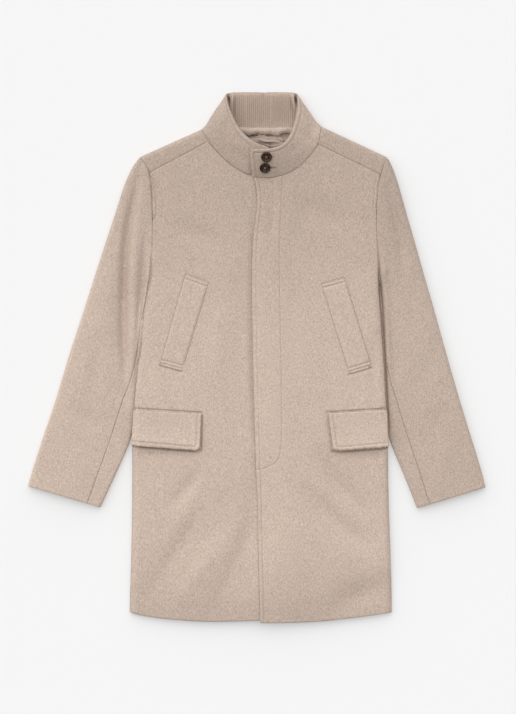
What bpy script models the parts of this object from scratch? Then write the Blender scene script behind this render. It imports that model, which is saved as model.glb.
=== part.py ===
"""Single-breasted wool coat with a stand collar, buttoned and laid flat on its back.

Every panel is a wall of cloth: a grid bent to the panel's outer face and thickened inwards.
Metres. +X is the wearer's left, +Y runs from hem to collar, +Z is up from the floor.
"""

import bisect
import math
from collections import namedtuple

import bmesh
import bpy
from mathutils import Matrix, Vector

RIGHT = -1
LEFT = 1

# Middle of the laid coat, in the measure of the tables below
ORIGIN = Vector((0.0005, -0.0012, 0.0))

# Cloth and gaps
CLOTH = 0.0022
COLLAR_CLOTH = 0.0024
TRIM_CLOTH = 0.0026
SEAM_GAP = 0.0003
FOLD_GAP = 0.0010
CURVED_SEAM_GAP = 0.0013
LAY_GAP = 0.0005

# Heights of the body as it lies
BODY_CENTRE_X = 0.008
BODY_HALF_WIDTH = 0.245
SIDE_TOP = 0.0165
CENTRE_RISE = 0.0055
SIDE_ROLL = 0.010
EDGE_LIP = 0.001
LIP = -1.0
HEM_SAG = 0.0045
HEM_SAG_LENGTH = 0.055
BACK_HEM_SHORT = 0.004

# The sides of the body lie a little over the sleeves' inner edges
SLEEVE_LIFT = 0.0095
LIFT_TOP = 0.003
LIFT_RAMP = 0.050
LIFT_LOW = (-0.205, -0.150)
LIFT_HIGH = (0.165, 0.120)
ROLL_SPAN = (0.172, 0.112)
SLEEVE_TUCK = 0.004
TUCK_HIGH = (0.112, 0.100)
TUCK_LOW = (-0.153, -0.123)

# Closing
UNDERLAP = 0.056
OVERLAP_STEP = CLOTH + 0.0012
OVERLAP_RUNOUT = 0.030

# Body outline: x of the right and left side or armhole at each height
BodyRow = namedtuple("BodyRow", "y right_x left_x")
BODY_OUTLINE = (
    BodyRow(-0.504, -0.2415, 0.257),
    BodyRow(-0.386, -0.2375, 0.255),
    BodyRow(-0.272, -0.2355, 0.2505),
    BodyRow(-0.169, -0.2355, 0.2492),
    BodyRow(-0.082, -0.232, 0.245),
    BodyRow(0.013, -0.221, 0.239),
    BodyRow(0.089, -0.213, 0.234),
    BodyRow(0.137, -0.205, 0.231),
    BodyRow(0.181, -0.200, 0.230),
    BodyRow(0.222, -0.197, 0.228),
    BodyRow(0.270, -0.197, 0.227),
    BodyRow(0.308, -0.199, 0.229),
    BodyRow(0.329, -0.201, 0.232),
    BodyRow(0.348, -0.204, 0.236),
    BodyRow(0.378, -0.224, 0.250),
)

# Front edge of the left front, which is the one that shows
EdgeRow = namedtuple("EdgeRow", "y x")
FRONT_EDGE = (
    EdgeRow(-0.504, 0.007),
    EdgeRow(-0.386, 0.004),
    EdgeRow(-0.272, 0.002),
    EdgeRow(-0.215, -0.001),
    EdgeRow(-0.082, -0.005),
    EdgeRow(0.051, -0.008),
    EdgeRow(0.146, -0.009),
    EdgeRow(0.217, -0.008),
    EdgeRow(0.262, -0.002),
    EdgeRow(0.291, 0.002),
    EdgeRow(0.317, 0.001),
    EdgeRow(0.342, -0.007),
)

# Hem height across each front
HemRow = namedtuple("HemRow", "x y")
RIGHT_HEM = (
    HemRow(-0.242, -0.484),
    HemRow(-0.226, -0.489),
    HemRow(-0.170, -0.497),
    HemRow(-0.088, -0.502),
    HemRow(0.005, -0.500),
    HemRow(0.070, -0.498),
)
LEFT_HEM = (
    HemRow(-0.010, -0.504),
    HemRow(0.012, -0.5045),
    HemRow(0.090, -0.503),
    HemRow(0.187, -0.4945),
    HemRow(0.257, -0.4845),
)

# Neck seam on the fronts, from side to side
NeckRow = namedtuple("NeckRow", "x y")
NECK_SEAM = (
    NeckRow(-0.091, 0.409),
    NeckRow(-0.083, 0.397),
    NeckRow(-0.071, 0.383),
    NeckRow(-0.056, 0.370),
    NeckRow(-0.033, 0.353),
    NeckRow(-0.007, 0.342),
    NeckRow(0.022, 0.339),
    NeckRow(0.050, 0.344),
    NeckRow(0.074, 0.354),
    NeckRow(0.097, 0.373),
    NeckRow(0.111, 0.392),
    NeckRow(0.117, 0.403),
)

# Shoulders: fold line of the back over the shoulder, and the forward seam, tip and neck ends
Shoulder = namedtuple("Shoulder", "fold_tip fold_neck seam_tip seam_neck")
SHOULDERS = {
    RIGHT: Shoulder((-0.221, 0.380), (-0.1050, 0.4318), (-0.2015, 0.3500), (-0.0910, 0.4085)),
    LEFT: Shoulder((0.2485, 0.379), (0.1235, 0.4372), (0.2350, 0.3455), (0.1170, 0.4030)),
}
SHOULDER_ROLL = 0.009
SHOULDER_SEAM_GAP = 0.00045
BACK_NECK_DROP = 0.010

# Sleeves as they lie: a row across the sleeve; a row with no inner x ends on the body's own line
SleeveRow = namedtuple("SleeveRow", "outer_x outer_y inner_x inner_y")
SLEEVE_ROWS = {
    RIGHT: (
        SleeveRow(-0.2280, 0.3700, None, 0.3705),
        SleeveRow(-0.2465, 0.3400, None, 0.3370),
        SleeveRow(-0.2660, 0.2790, None, 0.2720),
        SleeveRow(-0.2868, 0.2170, None, 0.2090),
        SleeveRow(-0.3058, 0.1580, None, 0.1500),
        SleeveRow(-0.3230, 0.1040, None, 0.1010),
        SleeveRow(-0.3420, 0.0460, None, 0.0460),
        SleeveRow(-0.3610, -0.0130, None, -0.0170),
        SleeveRow(-0.3812, -0.0820, None, -0.0860),
        SleeveRow(-0.4025, -0.1440, None, -0.1500),
        SleeveRow(-0.4140, -0.1790, -0.2545, -0.1940),
        SleeveRow(-0.4250, -0.2130, -0.2755, -0.2410),
        SleeveRow(-0.4340, -0.2450, -0.2960, -0.2855),
    ),
    LEFT: (
        SleeveRow(0.2545, 0.3655, None, 0.3665),
        SleeveRow(0.2660, 0.3400, None, 0.3370),
        SleeveRow(0.2830, 0.2790, None, 0.2720),
        SleeveRow(0.3010, 0.2170, None, 0.2090),
        SleeveRow(0.3175, 0.1580, None, 0.1500),
        SleeveRow(0.3335, 0.1040, None, 0.1010),
        SleeveRow(0.3495, 0.0460, None, 0.0460),
        SleeveRow(0.3660, -0.0130, None, -0.0170),
        SleeveRow(0.3860, -0.0820, None, -0.0860),
        SleeveRow(0.4050, -0.1440, None, -0.1500),
        SleeveRow(0.4160, -0.1790, 0.2685, -0.1970),
        SleeveRow(0.4265, -0.2130, 0.2865, -0.2410),
        SleeveRow(0.4350, -0.2470, 0.3045, -0.2870),
    ),
}
SLEEVE_TOP = 0.0175
CUFF_TOP = 0.0135
CUFF_INNER_TOP = 0.0120
DIVE_ROWS = (3.2, 4.6)
FREE_ROWS = (8.8, 11.0)
CUFF_ROWS = (8.0, 12.0)
CAP_ROWS = (0.0, 2.0)
INNER_FOLD_ROWS = (4.6, 5.1)
SLEEVE_CROWN = 0.0025
TUCKED_TOP = 0.0084
SLEEVE_ROLL = 0.008
SLEEVE_TIP_ROLL = 0.5
INNER_ROLL = 0.0045
INNER_SLOPE = (0.10, 1.00)
FOLD_CLEAR_OUT = (0.06, 0.36)
FOLD_CLEAR_IN = (1.00, 0.90)

# Sleeve seams as shares of the sleeve's width from its outer fold; row is a row of the sleeve table
SeamRow = namedtuple("SeamRow", "row upper lower")
SLEEVE_SEAMS = (
    SeamRow(0, 1.00, 1.00),
    SeamRow(5, 1.00, 1.00),
    SeamRow(5.5, 0.97, 0.96),
    SeamRow(7, 0.96, 0.70),
    SeamRow(8, 0.84, 0.58),
    SeamRow(9, 0.775, 0.55),
    SeamRow(10, 0.79, 0.54),
    SeamRow(12, 0.835, 0.54),
)

# Long soft folds of the fronts and sleeves: from one end to the other, half width, height
FOLD_START = (-0.15, 0.20)
FOLD_END = (1.15, 0.80)
Fold = namedtuple("Fold", "x0 y0 x1 y1 half_width height")
FOLDS = (
    Fold(-0.232, 0.345, -0.255, -0.030, 0.014, -0.0045),
    Fold(-0.222, 0.240, -0.236, 0.020, 0.011, 0.0020),
    Fold(-0.279, 0.260, -0.310, 0.020, 0.020, 0.0015),
    Fold(0.253, 0.310, 0.276, 0.190, 0.016, -0.0025),
    Fold(-0.018, 0.330, -0.020, 0.010, 0.016, -0.0028),
    Fold(-0.136, -0.329, -0.222, -0.452, 0.018, -0.0040),
    Fold(-0.105, -0.270, -0.185, -0.440, 0.022, 0.0028),
    Fold(-0.022, -0.234, -0.088, -0.376, 0.017, -0.0032),
    Fold(-0.107, -0.224, -0.164, -0.281, 0.014, -0.0018),
    Fold(0.130, -0.205, 0.187, -0.272, 0.014, -0.0028),
    Fold(0.121, -0.281, 0.197, -0.348, 0.016, -0.0022),
    Fold(0.080, -0.300, 0.110, -0.460, 0.025, 0.0018),
)

# Collar stations from the tab end, round the back, to the end that lies under the tab
Station = namedtuple("Station", "base_x base_y base_z top_x top_y top_z")
COLLAR = (
    Station(-0.009, 0.344, 0.0290, -0.013, 0.392, 0.0470),
    Station(0.020, 0.341, 0.0290, 0.020, 0.392, 0.0470),
    Station(0.049, 0.346, 0.0270, 0.043, 0.397, 0.0445),
    Station(0.073, 0.357, 0.0250, 0.058, 0.409, 0.0405),
    Station(0.095, 0.375, 0.0235, 0.068, 0.427, 0.0355),
    Station(0.109, 0.394, 0.0225, 0.074, 0.448, 0.0300),
    Station(0.1145, 0.409, 0.0205, 0.0785, 0.472, 0.0245),
    Station(0.1200, 0.4360, 0.0110, 0.0790, 0.4978, 0.0115),
    Station(0.108, 0.436, 0.0030, 0.072, 0.5015, 0.0030),
    Station(0.066, 0.429, 0.0004, 0.046, 0.502, 0.0004),
    Station(0.010, 0.423, 0.0004, 0.012, 0.502, 0.0004),
    Station(-0.050, 0.426, 0.0004, -0.024, 0.502, 0.0004),
    Station(-0.090, 0.432, 0.0030, -0.051, 0.5015, 0.0030),
    Station(-0.1018, 0.4325, 0.0110, -0.0585, 0.4980, 0.0115),
    Station(-0.0940, 0.417, 0.0195, -0.0555, 0.481, 0.0225),
    Station(-0.083, 0.400, 0.0215, -0.048, 0.462, 0.0270),
    Station(-0.064, 0.379, 0.0220, -0.039, 0.442, 0.0320),
    Station(-0.038, 0.360, 0.0225, -0.026, 0.423, 0.0360),
    Station(-0.006, 0.347, 0.0230, -0.005, 0.406, 0.0400),
    Station(0.026, 0.344, 0.0230, 0.022, 0.396, 0.0410),
)
NECK_MIDDLE = Vector((0.010, 0.440, 0.016))
COLLAR_BACK = 10
COLLAR_FOLD = 3
COLLAR_BULGE = 0.0020
COLLAR_ROWS = 5
COLLAR_STEPS = 2
STATION_STEP = 0.25

# Ribbed inside of the collar
RIB_PITCH = 0.0047
RIB_WALL = 0.0016
RIB_RIDGE = 0.0010
RIB_ROWS = 3
RIB_GAP = 0.0010
RIB_LOW = 0.10
RIB_MIDDLE = 0.60
RIB_MARKS = 200
RIB_LOW_CORNER = 0.4
RIB_HIGH = 0.985
RIB_CORNER_INSET = 0.0050
RIB_CORNER_SPAN = 1.1
RIB_FIRST_STATION = 1.0
RIB_LAST_STATION = 18.0

# Inside of the neck
FACING_X = (-0.038, 0.070)
FACING_Y = (0.4240, 0.4365)
FACING_Z = 0.0082
FACING_BULGE = 0.0028
FACING_WALL = 0.0014
FACING_SAG = 0.0015
FACING_GRID = (10, 6)
LINING_X = (-0.048, 0.080)
LINING_Y = (0.376, 0.4205)
LINING_Z = 0.0036
LINING_WALL = 0.0010
LINING_GRID = (16, 8)
LiningFold = namedtuple("LiningFold", "x0 y0 x1 y1 half_width height")
LINING_FOLDS = (
    LiningFold(-0.046, 0.412, 0.000, 0.400, 0.006, 0.0040),
    LiningFold(-0.010, 0.412, 0.050, 0.404, 0.006, 0.0050),
    LiningFold(0.035, 0.412, 0.076, 0.396, 0.006, 0.0045),
    LiningFold(-0.030, 0.390, 0.030, 0.386, 0.007, 0.0040),
)

# Pockets: corners go round from the top end next to the front edge
Quad = namedtuple("Quad", "top_in top_out low_out low_in")
WELTS = {
    RIGHT: Quad((-0.0905, 0.1425), (-0.1345, 0.1590), (-0.1835, -0.0150), (-0.1415, -0.0265)),
    LEFT: Quad((0.1220, 0.1405), (0.1655, 0.1520), (0.2185, -0.0190), (0.1760, -0.0315)),
}
FLAPS = {
    RIGHT: Quad((-0.1045, -0.1075), (-0.2335, -0.1005), (-0.2375, -0.1675), (-0.1075, -0.1770)),
    LEFT: Quad((0.1360, -0.1065), (0.2475, -0.1000), (0.2505, -0.1700), (0.1455, -0.1780)),
}
WELT_GRID = (4, 10)
FLAP_COLUMNS = (0.0, 0.02, 0.06, 0.14, 0.29, 0.44, 0.60, 0.75, 0.90, 0.95, 1.0)
FLAP_ROWS = (0.0, 0.025, 0.08, 0.18, 0.40, 0.65, 0.85, 1.0)
FLAP_CORNER_ROUND = 0.008
FLAP_LIFT = 0.0022
FLAP_EDGE_INSET = 0.0030

# Buttons: station and height share on the collar tab, and the turned profile
BUTTONS = {
    "button_upper": (0.96, 0.73),
    "button_lower": (0.87, 0.335),
}
BUTTON_RADIUS = 0.0103
BUTTON_THICK = 0.0040
BUTTON_DISH = 0.0011
BUTTON_RIM = 0.0024
BUTTON_EDGE = 0.0010
BUTTON_HOLE_RADIUS = 0.0011
BUTTON_HOLE_SPACE = 0.0021
BUTTON_STEPS = 24
BUTTON_SEAT = 0.0008
MERGE = 0.00001
BUTTON_HOLES = 4
BUTTON_HOLE_SIDES = 8

# Colours, linear
CLOTH_COLOUR = (0.55, 0.44, 0.36, 1.0)
RIB_COLOUR = (0.42, 0.32, 0.26, 1.0)
LINING_COLOUR = (0.50, 0.40, 0.33, 1.0)
BUTTON_COLOUR = (0.060, 0.036, 0.022, 1.0)
CLOTH_ROUGHNESS = 0.85
BUTTON_ROUGHNESS = 0.35


def smooth_through(keys, values):
    """A smooth function through the knots, with no overshoot between them."""
    steps = [b - a for a, b in zip(keys, keys[1:])]
    rises = [(b - a) / h for a, b, h in zip(values, values[1:], steps)]
    slopes = [rises[0]]
    for before, after in zip(rises, rises[1:]):
        same_way = before * after > 0
        slopes.append(2 * before * after / (before + after) if same_way else 0.0)
    slopes.append(rises[-1])

    def value(key):
        key = min(max(key, keys[0]), keys[-1])
        i = min(max(bisect.bisect_right(keys, key) - 1, 0), len(steps) - 1)
        h = steps[i]
        s = (key - keys[i]) / h
        start = (1 + 2 * s) * (1 - s) ** 2 * values[i] + s * (1 - s) ** 2 * h * slopes[i]
        end = s * s * (3 - 2 * s) * values[i + 1] + s * s * (s - 1) * h * slopes[i + 1]
        return start + end

    return value


def by_height(rows, column):
    return smooth_through([row.y for row in rows], [getattr(row, column) for row in rows])


def by_row(rows, column):
    return smooth_through(list(range(len(rows))), [getattr(row, column) for row in rows])


def across(rows):
    return smooth_through([row.x for row in rows], [row.y for row in rows])


def ease(share):
    share = min(max(share, 0.0), 1.0)
    return share * share * (3 - 2 * share)


def between(span, value):
    """0 at the span's first end, rising softly to 1 at its second."""
    return ease((value - span[0]) / (span[1] - span[0]))


def mix(a, b, share):
    return a + (b - a) * share


def spread(count, start=0.0, end=1.0):
    return [mix(start, end, i / (count - 1)) for i in range(count)]


def fold_sum(folds, x, y):
    """Height that a table of folds adds at a place; each fold tapers out at both ends."""
    total = 0.0
    for fold in folds:
        along = Vector((fold.x1 - fold.x0, fold.y1 - fold.y0))
        place = Vector((x - fold.x0, y - fold.y0))
        length = along.length
        share = place.dot(along) / length ** 2
        aside = (place - along * share).length / fold.half_width
        taper = between(FOLD_START, share) * between(FOLD_END, share)
        total += fold.height * taper * math.exp(-aside * aside)
    return total


SIDE_X = {RIGHT: by_height(BODY_OUTLINE, "right_x"), LEFT: by_height(BODY_OUTLINE, "left_x")}
front_edge_x = by_height(FRONT_EDGE, "x")
neck_seam_y = across(NECK_SEAM)
HEM_Y = {RIGHT: across(RIGHT_HEM), LEFT: across(LEFT_HEM)}


def lift_share(y):
    """How far the body's side is held up by the sleeve under it."""
    return between(LIFT_LOW, y) * between(LIFT_HIGH, y)


def roll_share(y):
    """1 where the side rolls over to the side seam, 0 above the armpit."""
    return between(ROLL_SPAN, y)


def front_top(x, y):
    """Height of the fronts' outer face over the floor, before the sides roll under."""
    aside = min(abs(x - BODY_CENTRE_X) / BODY_HALF_WIDTH, 1.0)
    height = SIDE_TOP + CENTRE_RISE * (1 - aside ** 2) + LIFT_TOP * lift_share(y) * aside ** 2
    over_hem = y - HEM_Y[RIGHT if x < BODY_CENTRE_X else LEFT](x)
    height -= HEM_SAG * (1 - ease(over_hem / HEM_SAG_LENGTH))
    return height + fold_sum(FOLDS, x, y)


def overlap_rise(x, y):
    """The left front lies over the underlap and comes down again past its edge."""
    past = (x - front_edge_x(y) - UNDERLAP) / OVERLAP_RUNOUT
    return OVERLAP_STEP * (1 - ease(past))


def side_middle(hand, y):
    """Height of the side seam."""
    lift = SLEEVE_LIFT * lift_share(y)
    return (lift + front_top(SIDE_X[hand](y), y)) / 2


def roll_drop(inset):
    """Share of the roll that is left at a distance in from the side."""
    share = min(max(inset / SIDE_ROLL, 0.0), 1.0)
    return 1 - math.sqrt(1 - (1 - share) ** 2)


def front_face(hand, x, y):
    """Height of a front's outer face with its overlap and its rolled side."""
    top = front_top(x, y)
    if hand == LEFT:
        top += overlap_rise(x, y)
    inset = (SIDE_X[hand](y) - x) * hand
    middle = side_middle(hand, y)
    return top - roll_share(y) * (top - middle) * roll_drop(inset)


def finish_object(name, bm, wall, colour, collection, weights=None, roughness=CLOTH_ROUGHNESS):
    mesh = bpy.data.meshes.new(name)
    bm.to_mesh(mesh)
    bm.free()
    item = bpy.data.objects.new(name, mesh)
    collection.objects.link(item)
    material = bpy.data.materials.new(name)
    material.use_nodes = True
    shader = material.node_tree.nodes["Principled BSDF"]
    shader.inputs["Base Color"].default_value = colour
    shader.inputs["Roughness"].default_value = roughness
    mesh.materials.append(material)
    if wall:
        thick = item.modifiers.new("wall", "SOLIDIFY")
        thick.thickness = wall
        thick.offset = -1
        thick.use_even_offset = False
        if weights:
            group = item.vertex_groups.new(name="rib")
            for index, weight in weights.items():
                group.add([index], weight, "REPLACE")
            thick.vertex_group = group.name
    return item


def bent_grid(columns, rows, place, outward, with_spots=False):
    """A grid of columns x rows with every point put at place(column, row), faces turned outward."""
    bm = bmesh.new()
    bmesh.ops.create_grid(bm, x_segments=columns - 1, y_segments=rows - 1, size=0.5)
    spot = {}
    for vert in bm.verts:
        column = round((vert.co.x + 0.5) * (columns - 1))
        row = round((vert.co.y + 0.5) * (rows - 1))
        spot[vert] = (column, row)
    for vert in bm.verts:
        vert.co = place(*spot[vert]) - ORIGIN
    bm.normal_update()
    if outward(bm) < 0:
        bmesh.ops.reverse_faces(bm, faces=bm.faces[:])
    if with_spots:
        bm.verts.index_update()
        return bm, [(vert.index, spot[vert][0]) for vert in bm.verts]
    return bm


def facing_up(bm):
    return sum(face.normal.z * face.calc_area() for face in bm.faces)


def facing_down(bm):
    return -facing_up(bm)


FRONT_COLUMNS = 13
NECK_COLUMNS = {RIGHT: 7, LEFT: 6}
FRONT_TOP_RANGE = (0.25, 0.45)
BISECTIONS = 40
HEM_LEVEL = -0.49
ROLL_ANGLES = (25, 50, 72, 90)
SIDE_HEIGHTS = (
    [-0.468, -0.440, -0.410] + spread(9, -0.382, -0.198) + spread(3, -0.180, -0.140)
    + spread(7, -0.108, 0.085) + spread(5, 0.108, 0.178) + [0.207, 0.240, 0.275, 0.305, 0.330]
)


def inner_x(hand, y):
    """Front edge of the left front, or the right front's edge under it."""
    edge = front_edge_x(y)
    return edge if hand == LEFT else edge + UNDERLAP


def front_column_x(hand, share, inset, y):
    """x of a column of a front: a share of the flat part's width, or an inset from the side."""
    side = SIDE_X[hand](y)
    if inset is None:
        return mix(inner_x(hand, y), side - hand * SIDE_ROLL, share)
    if inset == LIP:
        return side
    return side - hand * max(inset, EDGE_LIP * (1 - roll_share(y)))


def front_top_edge(hand, x):
    """Neck seam near the middle and forward shoulder seam outside it."""
    shoulder = SHOULDERS[hand]
    neck_x, neck_y = shoulder.seam_neck
    tip_x, tip_y = shoulder.seam_tip
    if (x - neck_x) * hand > 0:
        return mix(neck_y, tip_y, (x - neck_x) / (tip_x - neck_x)) - SHOULDER_SEAM_GAP
    return neck_seam_y(x)


def front_column_top(hand, share, inset):
    """Height at which a column of a front reaches its top edge."""
    low, high = FRONT_TOP_RANGE
    for _ in range(BISECTIONS):
        y = (low + high) / 2
        if y < front_top_edge(hand, front_column_x(hand, share, inset, y)):
            low = y
        else:
            high = y
    return low


def neck_share(hand):
    """Share of the flat part's width at which a column runs into the neck end of the shoulder seam."""
    neck_x, neck_y = SHOULDERS[hand].seam_neck
    edge = inner_x(hand, neck_y)
    return (neck_x - edge) / (SIDE_X[hand](neck_y) - hand * SIDE_ROLL - edge)


def front(hand, name, collection):
    """One front from hem to neck seam, its side rolled over to the side seam."""
    at_neck = neck_share(hand)
    neck_columns = NECK_COLUMNS[hand]
    shoulder_columns = FRONT_COLUMNS - neck_columns
    flat = spread(neck_columns, 0.0, at_neck) + spread(shoulder_columns, at_neck, 1.0)[1:]
    layout = [(share, None) for share in flat]
    layout += [(1.0, SIDE_ROLL * (1 - math.sin(math.radians(angle)))) for angle in ROLL_ANGLES]
    layout.append((1.0, LIP))
    tops = [front_column_top(hand, share, inset) for share, inset in layout]
    lows = [HEM_Y[hand](front_column_x(hand, share, inset, HEM_LEVEL)) for share, inset in layout]
    heights = [lows[-1]] + SIDE_HEIGHTS + [tops[-1]]

    def place(column, row):
        share, inset = layout[column]
        row_share = (heights[row] - lows[-1]) / (tops[-1] - lows[-1])
        y = mix(lows[column], tops[column], row_share)
        x = front_column_x(hand, share, inset, y)
        z = front_face(hand, x, y)
        if inset is not None:
            z += SEAM_GAP / 2 * roll_share(y)
        if column == len(layout) - 2:
            z += EDGE_LIP * roll_share(y)
        return Vector((x, y, z))

    bm = bent_grid(len(layout), len(heights), place, facing_up)
    return finish_object(name, bm, CLOTH, CLOTH_COLOUR, collection)


BACK_HEIGHTS = (
    [-0.440, -0.359, -0.290, -0.244, -0.221] + spread(4, -0.198, -0.140) + [-0.076, -0.011, 0.053]
    + [0.085] + spread(5, 0.108, 0.178) + [0.240, 0.305, 0.330, 0.348]
)
FOLD_ANGLES = (0, 10, 30, 60, 90, 120, 150, 180)
STRIP_SHARES = (0.5, 1.0)
STRIP_COLUMNS = 10
BACK_SHOULDER_COLUMNS = 4
BACK_FIRST_SHARE = 0.20
BACK_EDGE_SHARES = (0.01, 0.06)
BACK_SETTLE = (0.20, 0.30)
BACK_NECK_COLUMNS = 6


def shoulder_spot(hand, share):
    """Fold point, seam point and the way between them; share 0 is at the armhole, 1 at the neck."""
    shoulder = SHOULDERS[hand]
    fold = Vector(shoulder.fold_tip).lerp(Vector(shoulder.fold_neck), share)
    seam = Vector(shoulder.seam_tip).lerp(Vector(shoulder.seam_neck), share)
    return fold, seam, (seam - fold).normalized()


def back_share_x(share, y):
    return mix(SIDE_X[RIGHT](y), SIDE_X[LEFT](y), share)


def back_column(kind, hand, share):
    """Where a column of the back ends at the top, and its share of the back's width there."""
    if kind == "neck":
        right = shoulder_spot(RIGHT, 1.0)
        left = shoulder_spot(LEFT, 1.0)
        start = right[0] + right[2] * SHOULDER_ROLL
        end = left[0] + left[2] * SHOULDER_ROLL
        spot = start.lerp(end, share)
        spot.y -= BACK_NECK_DROP * math.sin(math.pi * share)
    else:
        fold, seam, way = shoulder_spot(hand, share)
        spot = fold + way * SHOULDER_ROLL
    right_x = SIDE_X[RIGHT](spot.y)
    left_x = SIDE_X[LEFT](spot.y)
    return spot, (spot.x - right_x) / (left_x - right_x)


def back(name, collection):
    """The back on the floor, its sides rolled up; it ends where the shoulders start to fold over."""
    rolled = [1 - math.sin(math.radians(angle)) for angle in (0,) + ROLL_ANGLES]
    shoulder_shares = spread(BACK_SHOULDER_COLUMNS, BACK_FIRST_SHARE, 1.0)
    columns = []
    for hand in (RIGHT, LEFT):
        edge = [("side", hand, 0.0, LIP)]
        edge += [("side", hand, mix(*BACK_EDGE_SHARES, inset), inset) for inset in reversed(rolled)]
        edge += [("shoulder", hand, share, None) for share in shoulder_shares]
        columns.append(edge)
    neck = [("neck", 0, share, None) for share in spread(BACK_NECK_COLUMNS)[1:-1]]
    layout = columns[0] + neck + columns[1][::-1]
    side_top = back_column("shoulder", RIGHT, 0.0)[0].y
    side_low = HEM_Y[RIGHT](SIDE_X[RIGHT](HEM_LEVEL)) + BACK_HEM_SHORT
    heights = [side_low] + BACK_HEIGHTS + [side_top]

    def place(column, row):
        kind, hand, share, roll_inset = layout[column]
        spot, width_share = back_column(kind, hand, share)
        low_x = back_share_x(width_share, HEM_LEVEL)
        low = HEM_Y[RIGHT if low_x < BODY_CENTRE_X else LEFT](low_x) + BACK_HEM_SHORT
        top = spot.y - FOLD_GAP
        y = mix(low, top, (heights[row] - side_low) / (side_top - side_low))
        x = back_share_x(width_share, y)
        if kind == "side":
            lip = EDGE_LIP * (1 - roll_share(y))
            inset = 0.0 if roll_inset == LIP else max(SIDE_ROLL * roll_inset, lip)
            x = mix(SIDE_X[hand](y) - hand * inset, x, between(BACK_SETTLE, y))
        if row == len(heights) - 1:
            x = spot.x
        side = RIGHT if x < BODY_CENTRE_X else LEFT
        inset = (SIDE_X[side](y) - x) * side
        lift = SLEEVE_LIFT * lift_share(y)
        ramp = lift * (1 - ease((inset - SIDE_ROLL) / LIFT_RAMP))
        roll = roll_share(y)
        z = ramp + roll * (side_middle(side, y) - SEAM_GAP / 2 - ramp) * roll_drop(inset)
        if kind == "side" and roll_inset == min(rolled):
            z -= EDGE_LIP * roll
        return Vector((x, y, max(z, 0.0)))

    bm = bent_grid(len(layout), len(heights), place, flat_faces_down)
    return finish_object(name, bm, CLOTH, CLOTH_COLOUR, collection)


def shoulder(hand, name, collection):
    """The part of the back that folds over the shoulder and runs down to the forward seam."""
    shares = spread(STRIP_COLUMNS)

    def place(column, row):
        fold, seam, way = shoulder_spot(hand, shares[column])
        centre = fold + way * SHOULDER_ROLL
        if row < len(FOLD_ANGLES):
            half = front_top(centre.x, centre.y) / 2
            angle = math.radians(FOLD_ANGLES[row])
            spot = centre - way * SHOULDER_ROLL * math.sin(angle)
            return Vector((spot.x, spot.y, half * (1 - math.cos(angle))))
        spot = centre.lerp(seam, STRIP_SHARES[row - len(FOLD_ANGLES)])
        return Vector((spot.x, spot.y, front_top(spot.x, spot.y)))

    bm = bent_grid(len(shares), len(FOLD_ANGLES) + len(STRIP_SHARES), place, top_faces_up)
    return finish_object(name, bm, CLOTH, CLOTH_COLOUR, collection)


def flat_faces_down(bm):
    low = [face for face in bm.faces if face.calc_center_median().z < CLOTH]
    return -sum(face.normal.z * face.calc_area() for face in low)


SLEEVE_STEPS = spread(9, 0.0, 5.0) + spread(12, 5.6, 12.0)
UNDER_STEPS = SLEEVE_STEPS[9:]
TOP_COLUMNS = 8
UNDER_TOP_COLUMNS = 4
LOWER_COLUMNS = 5
ROUND_ANGLES = (90, 55, 25, 0, -25, -55, -90)
OUTER_ANGLES = (90, 85, 60, 30, 0, -30, -60, -85, -90)


def body_line_x(hand, y):
    """x of the sleeve's inner edge where it runs along the body: outside the armhole, then tucked in."""
    tuck = between(TUCK_HIGH, y) * between(TUCK_LOW, y)
    return SIDE_X[hand](y) + hand * mix(CURVED_SEAM_GAP, -SLEEVE_TUCK, tuck)


def sleeve_line(hand):
    """A function from a row of the sleeve table to the ends of the line across the sleeve."""
    rows = SLEEVE_ROWS[hand]
    inner = [body_line_x(hand, row.inner_y) if row.inner_x is None else row.inner_x for row in rows]
    outer_x = by_row(rows, "outer_x")
    outer_y = by_row(rows, "outer_y")
    inner_y = by_row(rows, "inner_y")
    free_x = smooth_through(list(range(len(rows))), inner)
    last_on_body = max(i for i, row in enumerate(rows) if row.inner_x is None)

    def line(t):
        y = inner_y(t)
        x = body_line_x(hand, y) if t < last_on_body else free_x(t)
        return Vector((outer_x(t), outer_y(t))), Vector((x, y))

    return line


def inner_height(t, spot):
    """Height of the sleeve at its inner edge: at the armhole it meets the front, below it tucks under."""
    at_front = front_top(spot.x, spot.y)
    tucked = mix(at_front, TUCKED_TOP, between(DIVE_ROWS, t))
    return mix(tucked, CUFF_INNER_TOP, between(FREE_ROWS, t))


def outer_height(t):
    return mix(SLEEVE_TOP, CUFF_TOP, between(CUFF_ROWS, t))


def sleeve_point(hand, line, t, w, angle, low):
    """A point of the sleeve's outer face. angle is None on the flat parts, else the angle of the fold."""
    outer, inner = line(t)
    way = inner - outer
    width = way.length
    way.normalize()
    outer_roll = min(SLEEVE_ROLL, width * SLEEVE_TIP_ROLL)
    inner_roll = INNER_ROLL * between(INNER_FOLD_ROWS, t)
    start = outer + way * outer_roll
    end = inner - way * inner_roll
    spot = start.lerp(end, w)
    crown = 4 * w * (1 - w) * SLEEVE_CROWN * between(CAP_ROWS, t)
    top = mix(outer_height(t), inner_height(t, inner), between(INNER_SLOPE, w)) + crown
    top += fold_sum(FOLDS, spot.x, spot.y) * between(FOLD_CLEAR_OUT, w) * between(FOLD_CLEAR_IN, w)
    if angle is None:
        return Vector((spot.x, spot.y, 0.0 if low else top))
    roll = outer_roll if w == 0 else inner_roll
    side = -1 if w == 0 else 1
    spot = spot + way * side * roll * math.cos(math.radians(angle))
    return Vector((spot.x, spot.y, top / 2 * (1 + math.sin(math.radians(angle)))))


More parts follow.
